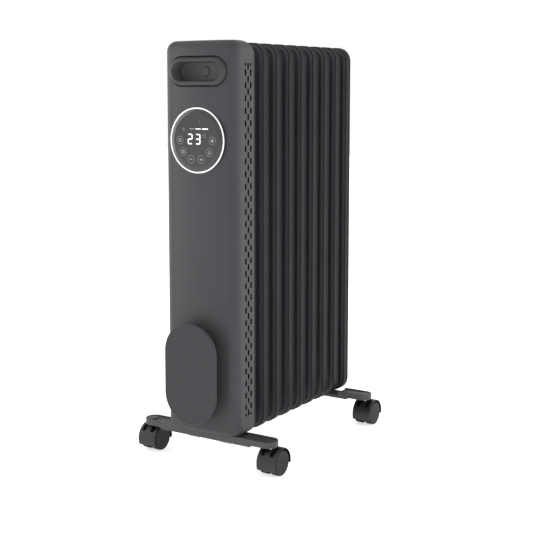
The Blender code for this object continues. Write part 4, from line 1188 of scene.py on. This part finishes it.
@dataclass
class CordWinder:
    """The plate and post that the cord winds on, and the bush that the cord comes through."""

    gland_radius: float = 0.0066
    rim: float = 0.0018
    dish: float = 0.0003            # the face lies this far behind its rim

    def build(self) -> None:
        """Build the plate, the post and the bush."""
        low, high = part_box("cord_winder_plate")
        post_low, post_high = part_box("cord_winder_post")
        middle = LAYOUT.centre("cord_winder_plate")
        thick = post_low.y - GAP - low.y
        plate = stadium("cord_plate", (0.0, low.y + self.rim, middle.z), high.x - low.x,
                        high.z - low.z, thick - self.rim, 32)
        carve(plate, (0.0, -1.0, 0.0),
              arc(self.rim, self.rim, 6, False) + [(0.0010, 0.0)] + arc(0.0008, -self.dish, 3, True))
        carve(plate, (0.0, 1.0, 0.0), arc(0.0008, 0.0, 1, True) + [(0.0030, 0.0), (0.0, -0.0006)])
        hand_over(plate, HEATER, PLASTIC, ["cord_winder_plate"])

        post = stadium("cord_post", (0.0, post_low.y, middle.z), post_high.x - post_low.x,
                       post_high.z - post_low.z, post_high.y - post_low.y, 24)
        hand_over(post, HEATER, PLASTIC, ["cord_winder_post"])

        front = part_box("cord_gland")[0].y
        level = LAYOUT.centre("cord_gland").z
        flange = LAYOUT.low.y - GAP
        bush = drum("cord_bush", (0.0, flange, level), Axis.Y, -0.0008, 0.0080, 48)
        nose = flange - 0.0008 - front
        carve(bush, (0.0, -1.0, 0.0),
              arc(0.0010, 0.0010, 3, False) + [(0.0014, 0.0)]
              + [(0.0008, nose - 0.0014), (0.0004, 0.0004), (0.0008, 0.0), (0.0, -0.0060)])
        use_tool(bush, drum("bush_root", (0.0, flange - 0.0002, level), Axis.Y, 0.0080,
                            self.gland_radius, 48), Cut.WELD)
        hand_over(bush, HEATER, RUBBER, ["cord_gland"])


# ---------------------------------------------------------------- fins


@dataclass
class FinStack:
    """The nine oil fins: folded rims, pressed channels and the two headers' necks."""

    lap: float = 0.0084             # how far the housing laps over the first fin
    corner: float = 0.0234
    half_depth: float = 0.0079      # half of a fin, front to rear
    rim_roll: float = 0.0018
    rim_step: float = 0.0012        # rounding between the rim and the web
    bead: float = 0.0015            # beads along both edges of the rim
    bead_rise: float = 0.0005
    rim_width: float = 0.0075
    web: float = 0.0024
    channel_depth: float = 0.0100
    channel_width: float = 0.0227
    channel_gap: float = 0.0110
    margin: float = 0.0123
    neck: float = 0.0170
    header_rise: float = 0.0435
    pitch: float = 0.0377

    def fin(self, name: str, y: float) -> bpy.types.Object:
        """The folded rim round the web, with a rounded step between them.

        Args:
            name: the piece's name.
            y: the fin's middle.

        Returns:
            The fin without its channels.
        """
        low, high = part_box("fin_5")
        half = self.half_depth - self.rim_roll
        piece = block(name, (low.x, y - half, low.z), (high.x, y + half, high.z))
        round_corners(piece, Axis.Y, self.corner, 12)
        step = self.rim_step
        drop = half + self.rim_roll - self.web / 2 - 2 * step
        flat = self.rim_width - self.rim_roll - step
        steps = arc(self.rim_roll, self.rim_roll, 6, False) + [(flat, 0.0)]
        steps += arc(step, -step, 3, True) + [(0.0, -drop)] + arc(step, -step, 3, False)
        for side in (-1.0, 1.0):
            carve(piece, (0.0, side, 0.0), steps)
        pick_faces(piece, lambda centre, normal: abs(normal.y) < 0.01
                   and self.inside(centre, low, high) < 0.0003)
        with editing(piece):
            bpy.ops.mesh.inset(thickness=self.bead, depth=0.0, use_even_offset=True)
            bpy.ops.mesh.inset(thickness=self.bead_rise, depth=-self.bead_rise)
        return piece

    def channels(self, y: float) -> bpy.types.Object:
        """The pressed oil channels: three uprights between two headers.

        Args:
            y: the fin's middle.

        Returns:
            The channels as one block with two windows.
        """
        low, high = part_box("fin_5")
        half_x = high.x - self.rim_width - self.margin
        reach = self.rim_width + self.margin / 2
        roll = 0.0022
        half = self.channel_depth / 2 - roll
        piece = block("channels", (-half_x, y - half, low.z + reach),
                      (half_x, y + half, high.z - reach))
        round_corners(piece, Axis.Y, self.margin, 8)
        centre = (self.channel_width + self.channel_gap) / 2
        room = self.header_rise + 1.6 * self.neck
        windows = []
        for x in (-centre, centre):
            window = block("window", (x - self.channel_gap / 2, y - CUT_REACH, low.z + room),
                           (x + self.channel_gap / 2, y + CUT_REACH, high.z - room))
            round_corners(window, Axis.Y, self.channel_gap / 2 - 1e-5, 6)
            windows.append(window)
        use_tool(piece, join(windows), Cut.TAKE)
        for side in (-1.0, 1.0):
            carve(piece, (0.0, side, 0.0), arc(roll, roll, 4, False))
        return piece

    def inside(self, point: Vector, low: Vector, high: Vector) -> float:
        """How far a point lies inside the fin's rounded outline.

        Args:
            point: the point.
            low: the fin's lowest corner.
            high: the fin's highest corner.

        Returns:
            The distance, below zero outside.
        """
        x = abs(point.x) - (high.x - self.corner)
        z = abs(point.z - (low.z + high.z) / 2) - ((high.z - low.z) / 2 - self.corner)
        out = math.hypot(max(x, 0.0), max(z, 0.0)) + min(max(x, z), 0.0)
        return self.corner - out

    def coat(self, fin: bpy.types.Object, middle: float) -> None:
        """Paint the web lighter as painted light, the rim's side darker as painted shade, its rolls
        and beads as a painted highlight, and what the housing covers near-black as painted shade.

        Args:
            fin: the fin.
            middle: its middle along Y.
        """
        low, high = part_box("fin_5")
        covered = LAYOUT.high.y
        flat = (high.y - low.y) / 2 - self.rim_roll - self.bead
        # The web takes the lightened tone (painted light), the rolls and beads the painted
        # highlight, and the rim's middle side the painted shade.
        paint(fin, FIN_WEB_PAINTED_LIGHT)
        paint_where(fin, FIN_ROLL_PAINTED_HIGHLIGHT, lambda c, n: abs(n.y) < FLAT
                    and self.inside(c, low, high) < self.rim_roll - HAIR)
        paint_where(fin, FIN_SIDE_PAINTED_SHADE, lambda c, n: abs(c.y - middle) < flat
                    and self.inside(c, low, high) < self.rim_roll - HAIR)
        # What the housing covers is painted near-black as painted shade, so it shows dark through
        # the slots.
        paint_where(fin, PAINTED_SHADE_LINING, lambda c, n: c.y < covered)

    def build(self) -> None:
        """Build the fins with their necks."""
        first = LAYOUT.centre("fin_5").y - 4 * self.pitch
        low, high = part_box("fin_5")
        levels = (low.z + self.header_rise, high.z - self.header_rise)
        pattern = self.fin("fin_pattern", first)
        use_tool(pattern, self.channels(first), Cut.WELD)
        finish_mesh(pattern)
        for number in range(9):
            y = first + number * self.pitch
            node = f"fin_{number + 1}"
            fin_low, fin_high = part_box(node)
            fin = pattern.copy()
            fin.data = pattern.data.copy()
            fin.name = fin.data.name = f"oil_fin_{number + 1}"
            bpy.context.scene.collection.objects.link(fin)
            fin.location = (0.0, y - first, 0.0)
            place_mesh(fin)
            necks = [drum("neck", (0.0, fin_low.y, level), Axis.Y, fin_high.y - fin_low.y,
                          self.neck, 40) for level in levels]
            use_tool(fin, join(necks), Cut.WELD)
            self.coat(fin, y)
            hand_over(fin, HEATER, FIN_WEB_PAINTED_LIGHT, [node])
        bpy.data.objects.remove(pattern, do_unlink=True)
        self.build_closures()

    def build_closures(self) -> None:
        """Build the caps on the headers' ends and the oil filler plug."""
        for node in ("upper_front_cap", "upper_rear_cap", "lower_rear_cap"):
            low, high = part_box(node)
            middle = LAYOUT.centre(node)
            front = node == "upper_front_cap"
            start, thick = (high.y, low.y - high.y) if front else (low.y, high.y - low.y)
            roll = 0.0006
            cap = drum(f"{node}_disc", (0.0, start, middle.z), Axis.Y,
                       thick - math.copysign(roll, thick), (high.x - low.x) / 2, 56)
            carve(cap, (0.0, -1.0 if front else 1.0, 0.0),
                  arc(roll, roll, 3, False) + [(0.0022, 0.0), (0.0008, -0.0003)])
            # The caps take the fins' lightened web tone, which is painted light.
            hand_over(cap, HEATER, FIN_WEB_PAINTED_LIGHT, [node])
        low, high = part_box("oil_filler_plug")
        middle = LAYOUT.centre("oil_filler_plug")
        cap_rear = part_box("upper_rear_cap")[1].y
        plug = drum("filler_plug_head", (0.0, cap_rear, middle.z), Axis.Y,
                    high.y - cap_rear - 0.0002, (high.x - low.x) / 2, 6)
        carve(plug, (0.0, 1.0, 0.0), [(0.0006, 0.0002), (0.0026, 0.0), (0.0002, -0.0003)])
        hand_over(plug, HEATER, ZINC, ["oil_filler_plug"])


# ---------------------------------------------------------------- foot bars


@dataclass
class FootBar:
    """A long foot bar: rolled lips, a shallow trough, round pads over the casters."""

    node: str
    over_fins: bool
    lip: float = 0.0028
    trough: float = 0.0022
    lip_roll: float = 0.0007
    end_height: float = 0.0093
    drop: float = 0.0027
    step_inset: float = 0.0405
    step_slope: float = 0.0050
    pad_radius: float = 0.0095
    pad_height: float = 0.0016
    stem_inset: float = 0.0098
    dimple_inset: float = 0.0265
    dimple: float = 0.0016
    centre_height: float = 0.0050
    fin_room: float = 0.0016

    def build(self) -> None:
        """Build the bar and put it in the frame."""
        low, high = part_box(self.node)
        y = (low.y + high.y) / 2
        width = high.y - low.y
        top = high.z
        bar = block(f"{self.node}_channel", low, (high.x, high.y, top - self.lip_roll))
        round_corners(bar, Axis.Z, width / 2, 20)
        floor = self.trough - 2 * self.lip_roll
        steps = arc(self.lip_roll, self.lip_roll, 4, False)
        steps += [(self.lip - 2 * self.lip_roll, 0.0)]
        steps += arc(self.lip_roll, -self.lip_roll, 4, True) + [(0.0, -floor)]
        steps += arc(self.lip_roll, -self.lip_roll, 3, False)
        carve(bar, (0.0, 0.0, 1.0), steps)
        use_tool(bar, self.undercut(low, high), Cut.TAKE)
        if self.over_fins:
            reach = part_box("fin_5")[1].x + self.fin_room
            seat = low.z + self.centre_height
            use_tool(bar, block("seat", (-reach, low.y - CUT_REACH, seat),
                                (reach, high.y + CUT_REACH, top + CUT_REACH)), Cut.TAKE)
        for side in (-1.0, 1.0):
            x = side * (high.x - self.stem_inset)
            under = top - self.trough - 0.0008
            pad = drum("pad", (x, y, under), Axis.Z, self.pad_height + 0.0008 - 0.0006,
                       self.pad_radius, 48)
            carve(pad, (0.0, 0.0, 1.0), arc(0.0006, 0.0006, 3, False))
            use_tool(bar, pad, Cut.WELD)
            dimple = side * (high.x - self.dimple_inset)
            use_tool(bar, drum("dimple", (dimple, y, low.z - 0.002), Axis.Z, 0.03, self.dimple,
                               24), Cut.TAKE)
        hand_over(bar, HEATER, BAR_COAT, [self.node])

    def undercut(self, low: Vector, high: Vector) -> bpy.types.Object:
        """What is taken off below both ends, with a sloping inner face.

        Args:
            low: the bar's lowest corner.
            high: the bar's highest corner.

        Returns:
            The cutting tool.
        """
        tools = []
        under = high.z - self.end_height
        step = high.x - self.step_inset
        for side in (-1.0, 1.0):
            ends = sorted((side * step, side * (high.x + CUT_REACH)))
            tool = block("undercut", (ends[0], low.y - CUT_REACH, low.z),
                         (ends[1], high.y + CUT_REACH, under))
            pick_points(tool, lambda p: p.z > low.z + 1e-5 and abs(abs(p.x) - step) < 1e-5)
            with editing(tool):
                bpy.ops.transform.translate(value=(side * self.step_slope, 0.0, 0.0))
            pick_points(tool, lambda p: p.z < low.z + 1e-5)
            with editing(tool):
                bpy.ops.transform.translate(value=(0.0, 0.0, -0.0005))
            tools.append(tool)
        return join(tools)


# ---------------------------------------------------------------- bar fixings


@dataclass
class Fixings:
    """Wing bolts under the front bar; the U-bolt and its wing nuts on the rear one."""

    hub_radius: float = 0.0050
    hub_height: float = 0.0045
    wing_span: float = 0.0220
    wing_thickness: float = 0.0020

    def wings(self, name: str, node: str, shank: float, through: bool) -> None:
        """Build one wing bolt or wing nut.

        Args:
            name: the piece's name.
            node: the CAD node it stands for.
            shank: the radius of the bolt or of the nut's bore.
            through: True for a nut.
        """
        low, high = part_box(node)
        middle = LAYOUT.centre(node)
        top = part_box("front_foot_bar")[0].z - GAP
        hub = drum(name, (middle.x, middle.y, top), Axis.Z, -(self.hub_height - 0.0006),
                   self.hub_radius, 32)
        carve(hub, (0.0, 0.0, -1.0), arc(0.0006, 0.0006, 3, False))
        wing = block("wing", (middle.x - self.wing_span / 2, middle.y - self.wing_thickness / 2,
                              low.z), (middle.x + self.wing_span / 2,
                                       middle.y + self.wing_thickness / 2, top - 0.0010))
        round_corners(wing, Axis.Y, 0.0020, 5)
        soften(wing, 0.0004, 2)
        use_tool(hub, wing, Cut.WELD)
        if through:
            use_tool(hub, drum("bore", (middle.x, middle.y, top + 0.005), Axis.Z, -0.03, shank,
                               24), Cut.TAKE)
        else:
            use_tool(hub, drum("shank", (middle.x, middle.y, top - 0.001), Axis.Z,
                               high.z - top + 0.001, shank, 24), Cut.WELD)
        hand_over(hub, HEATER, ZINC, [node])

    def build(self) -> None:
        """Build every fixing."""
        for label in ("left", "right"):
            self.wings(f"wing_bolt_{label}_turned", f"wing_bolt_{label}", 0.0025, False)
            self.wings(f"wing_nut_{label}_turned", f"wing_nut_{label}", 0.0028, True)
        self.build_u_bolt()

    def build_u_bolt(self) -> None:
        """Build the wire that holds the lower header to the rear bar."""
        low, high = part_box("rear_u_bolt")
        radius = (high.y - low.y) / 2
        bend = (high.x - low.x) / 2 - radius
        y = (low.y + high.y) / 2
        turn = high.z - bend - radius
        wire = drum("u_bolt_wire", (bend, y, low.z), Axis.Z, turn - low.z, radius, 24)
        pick_cap(wire, Vector((0.0, 0.0, 1.0)))
        with editing(wire):
            bpy.ops.mesh.spin(steps=20, angle=-math.pi, center=(0.0, y, turn),
                              axis=(0.0, 1.0, 0.0))
            bpy.ops.mesh.extrude_region_move(
                TRANSFORM_OT_translate={"value": (0.0, 0.0, low.z - turn)})
        hand_over(wire, HEATER, ZINC, ["rear_u_bolt"])


# ---------------------------------------------------------------- casters


@dataclass
class Caster:
    """A twin-wheel caster: hood with its window, stem and two wheels with black treads."""

    name: str
    tread_radius: float = 0.01975
    hood_gap: float = 0.0025
    hood_wall: float = 0.0012
    hood_width: float = 0.0330
    web: float = 0.0045             # half the middle web between the wheels
    front_level: float = 0.0100
    rear_level: float = 0.0153
    window_level: float = 0.0330
    window_half: float = 0.0115
    stem_radius: float = 0.0030
    edge: float = 0.0020

    @property
    def hub(self) -> Vector:
        """The middle of the axle."""
        return LAYOUT.centre(f"{self.name}_axle")

    def build(self) -> None:
        """Build the hood, the stem and both wheels."""
        self.build_hood()
        self.build_stem()
        for label, side in (("left", -1.0), ("right", 1.0)):
            self.build_wheel(label, side)

    def build_hood(self) -> None:
        """Build the hood over the wheels."""
        hub = self.hub
        half = self.hood_width / 2
        outer = self.tread_radius + self.hood_gap + self.hood_wall
        roll = 0.0007
        hood = drum(f"{self.name}_cover", (hub.x - half + roll, hub.y, hub.z), Axis.X,
                    2 * (half - roll), outer, 96)
        for side in (-1.0, 1.0):
            carve(hood, (side, 0.0, 0.0),
                  [(0.0002, roll * 0.6), (0.0003, roll * 0.4), (outer * 0.5, 0.0)])
        pockets = []
        for side in (-1.0, 1.0):
            pockets.append(drum("pocket", (hub.x + side * self.web, hub.y, hub.z), Axis.X,
                                side * (half + CUT_REACH), self.tread_radius + self.hood_gap, 96))
        paint(hood, BLACK)
        # The pockets round the wheels are lined with near-black painted shade.
        use_tool(hood, join(pockets), Cut.TAKE, PAINTED_SHADE_LINING)
        use_tool(hood, self.lower_tool(outer), Cut.TAKE)
        windows = []
        for side in (-1.0, 1.0):
            ends = sorted((side * self.web, side * self.window_half))
            window = block("window", (hub.x + ends[0], hub.y - 2 * outer, self.window_level),
                           (hub.x + ends[1], hub.y - GAP, hub.z + 2 * outer))
            round_corners(window, Axis.Z, 0.0008, 3)
            windows.append(window)
        use_tool(hood, join(windows), Cut.TAKE)
        hand_over(hood, self.name, BLACK, [f"{self.name}_hood"])

    def lower_tool(self, outer: float) -> bpy.types.Object:
        """A block below the hood's slanted lower edge.

        Args:
            outer: the hood's radius.

        Returns:
            The cutting tool.
        """
        hub = self.hub
        front = -math.sqrt(outer ** 2 - (hub.z - self.front_level) ** 2)
        rear = math.sqrt(outer ** 2 - (hub.z - self.rear_level) ** 2)
        rise = (self.rear_level - self.front_level) / (rear - front)
        reach = 2 * outer
        tool = block("lower", (hub.x - reach, hub.y - reach, -reach),
                     (hub.x + reach, hub.y + reach, hub.z))
        for end in (-reach, reach):
            pick_points(tool, lambda p, end=end: p.z > 0 and abs(p.y - hub.y - end) < 1e-5)
            level = self.front_level + (end - front) * rise
            with editing(tool):
                bpy.ops.transform.translate(value=(0.0, 0.0, level - hub.z))
        return tool

    def build_stem(self) -> None:
        """Build the plated stem with its rounded top."""
        node = f"{self.name}_stem"
        low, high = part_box(node)
        middle = LAYOUT.centre(node)
        stem = drum(f"{self.name}_pin", (middle.x, middle.y, low.z), Axis.Z, high.z - low.z - 0.0006,
                    self.stem_radius, 40)
        carve(stem, (0.0, 0.0, 1.0), arc(0.0006, 0.0006, 3, False))
        hand_over(stem, self.name, ZINC, [node])

    def build_wheel(self, label: str, side: float) -> None:
        """Build one wheel.

        Args:
            label: left or right.
            side: -1 for the left wheel, 1 for the right one.
        """
        node = f"{self.name}_wheel_{label}"
        low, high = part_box(node)
        hub = self.hub
        inner, outer = (high.x, low.x) if side < 0 else (low.x, high.x)
        span = outer - inner
        wheel = drum(f"{self.name}_roller_{label}", (inner, hub.y, hub.z), Axis.X,
                     span - side * self.edge, self.tread_radius, 96)
        steps = arc(self.edge, self.edge, 6, False)
        steps += [(0.0102, 0.0), (0.0003, -0.0003), (0.0004, 0.0), (0.0003, 0.0003)]
        carve(wheel, (side, 0.0, 0.0), steps)
        carve(wheel, (-side, 0.0, 0.0), [(0.0030, 0.0), (0.0006, -0.0020), (0.0100, 0.0),
                                         (0.0004, 0.0019)])
        for finish in (DISC, TREAD):
            wheel.data.materials.append(finish.material())
        tread = self.tread_radius - 0.0004
        for face in wheel.data.polygons:
            off = face.center - hub
            radius = math.hypot(off.y, off.z)
            face.material_index = 1 if radius > tread or face.normal.x * side < -0.5 else 0
        hand_over(wheel, node, DISC, [node])


# ---------------------------------------------------------------- studio


@dataclass
class Studio:
    """Pale floor, soft lights and the camera."""

    place: Place = (0.9780, -1.5094, 0.5828)
    azimuth: float = math.radians(32.530)
    pitch: float = math.radians(6.457)
    lens: float = 74.59
    shift: float = -0.100

    def camera(self) -> None:
        """Set up the camera, level across and tilted a little down."""
        data = bpy.data.cameras.new("view")
        camera = bpy.data.objects.new("view", data)
        bpy.context.scene.collection.objects.link(camera)
        camera.location = self.place
        camera.rotation_euler = (math.pi / 2 - self.pitch, 0.0, self.azimuth)
        data.sensor_width = 36.0
        data.lens = self.lens
        data.shift_y = self.shift
        data.clip_end = 50.0
        bpy.context.scene.camera = camera

    def floor(self) -> None:
        """Lay a pale floor under the heater."""
        bpy.ops.mesh.primitive_plane_add(size=14.0, location=(0.0, 0.0, 0.0))
        floor = bpy.context.object
        floor.name = "studio_floor"
        material = bpy.data.materials.new("pale_floor")
        material.use_nodes = True
        tree = material.node_tree
        shader = tree.nodes["Principled BSDF"]
        shader.inputs["Roughness"].default_value = 0.6
        shader.inputs["Emission Color"].default_value = (1.0, 1.0, 1.0, 1.0)
        shader.inputs["Emission Strength"].default_value = 0.6
        where = tree.nodes.new("ShaderNodeTexCoord")
        noise = tree.nodes.new("ShaderNodeTexNoise")
        noise.inputs["Scale"].default_value = 3.0
        ramp = tree.nodes.new("ShaderNodeMix")
        ramp.data_type = "RGBA"
        ramp.inputs["A"].default_value = (0.90, 0.90, 0.90, 1.0)
        ramp.inputs["B"].default_value = (0.92, 0.92, 0.92, 1.0)
        tree.links.new(where.outputs["Object"], noise.inputs["Vector"])
        tree.links.new(noise.outputs["Fac"], ramp.inputs["Factor"])
        tree.links.new(ramp.outputs["Result"], shader.inputs["Base Color"])
        floor.data.materials.append(material)

    def lamp(self, name: str, place: Place, aim: Place, size: float, power: float) -> None:
        """Hang one soft square light.

        Args:
            name: the light's name.
            place: where it hangs.
            aim: the point it looks at.
            size: the length of its side.
            power: its power in watts.
        """
        data = bpy.data.lights.new(name, "AREA")
        data.size = size
        data.energy = power
        lamp = bpy.data.objects.new(name, data)
        bpy.context.scene.collection.objects.link(lamp)
        lamp.location = place
        aim_at = Vector(aim) - Vector(place)
        lamp.rotation_euler = aim_at.to_track_quat("-Z", "Y").to_euler()

    def build(self) -> None:
        """Set up the whole studio."""
        self.camera()
        self.floor()
        world = bpy.data.worlds.new("studio")
        world.use_nodes = True
        backdrop = world.node_tree.nodes["Background"]
        backdrop.inputs["Color"].default_value = (1.0, 1.0, 1.0, 1.0)
        backdrop.inputs["Strength"].default_value = 1.0
        scene = bpy.context.scene
        scene.world = world
        scene.view_settings.view_transform = "Standard"
        middle = (0.0, 0.0, 0.35)
        self.lamp("left_panel", (-2.8, -1.2, 0.9), middle, 2.4, 40.0)
        self.lamp("right_panel", (2.6, 1.5, 0.9), middle, 2.4, 34.0)


# ---------------------------------------------------------------- assembly


def dress_frame() -> None:
    """Give every CAD node that stays visible its finish."""
    slots = {part["node"]: part["material_slot"] for part in frame["record"]["subparts"]}
    for name, node in frame["nodes"].items():
        paint(node, NODE_FINISH[slots[name]])


def main() -> None:
    """Build the heater's looks in order."""
    logging.basicConfig(level=logging.INFO, format="%(relativeCreated)6d %(name)s: %(message)s")
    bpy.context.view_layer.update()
    bpy.ops.object.select_all(action="DESELECT")
    dress_frame()
    Studio().build()
    Housing().build()
    Handle().build()
    Display().build()
    CordWinder().build()
    FinStack().build()
    for node, over_fins in (("front_foot_bar", False), ("rear_foot_bar", True)):
        FootBar(node, over_fins).build()
    Fixings().build()
    for row in ("front", "rear"):
        for side in ("left", "right"):
            Caster(f"{row}_{side}_caster").build()


if __name__ == "__main__":
    main()
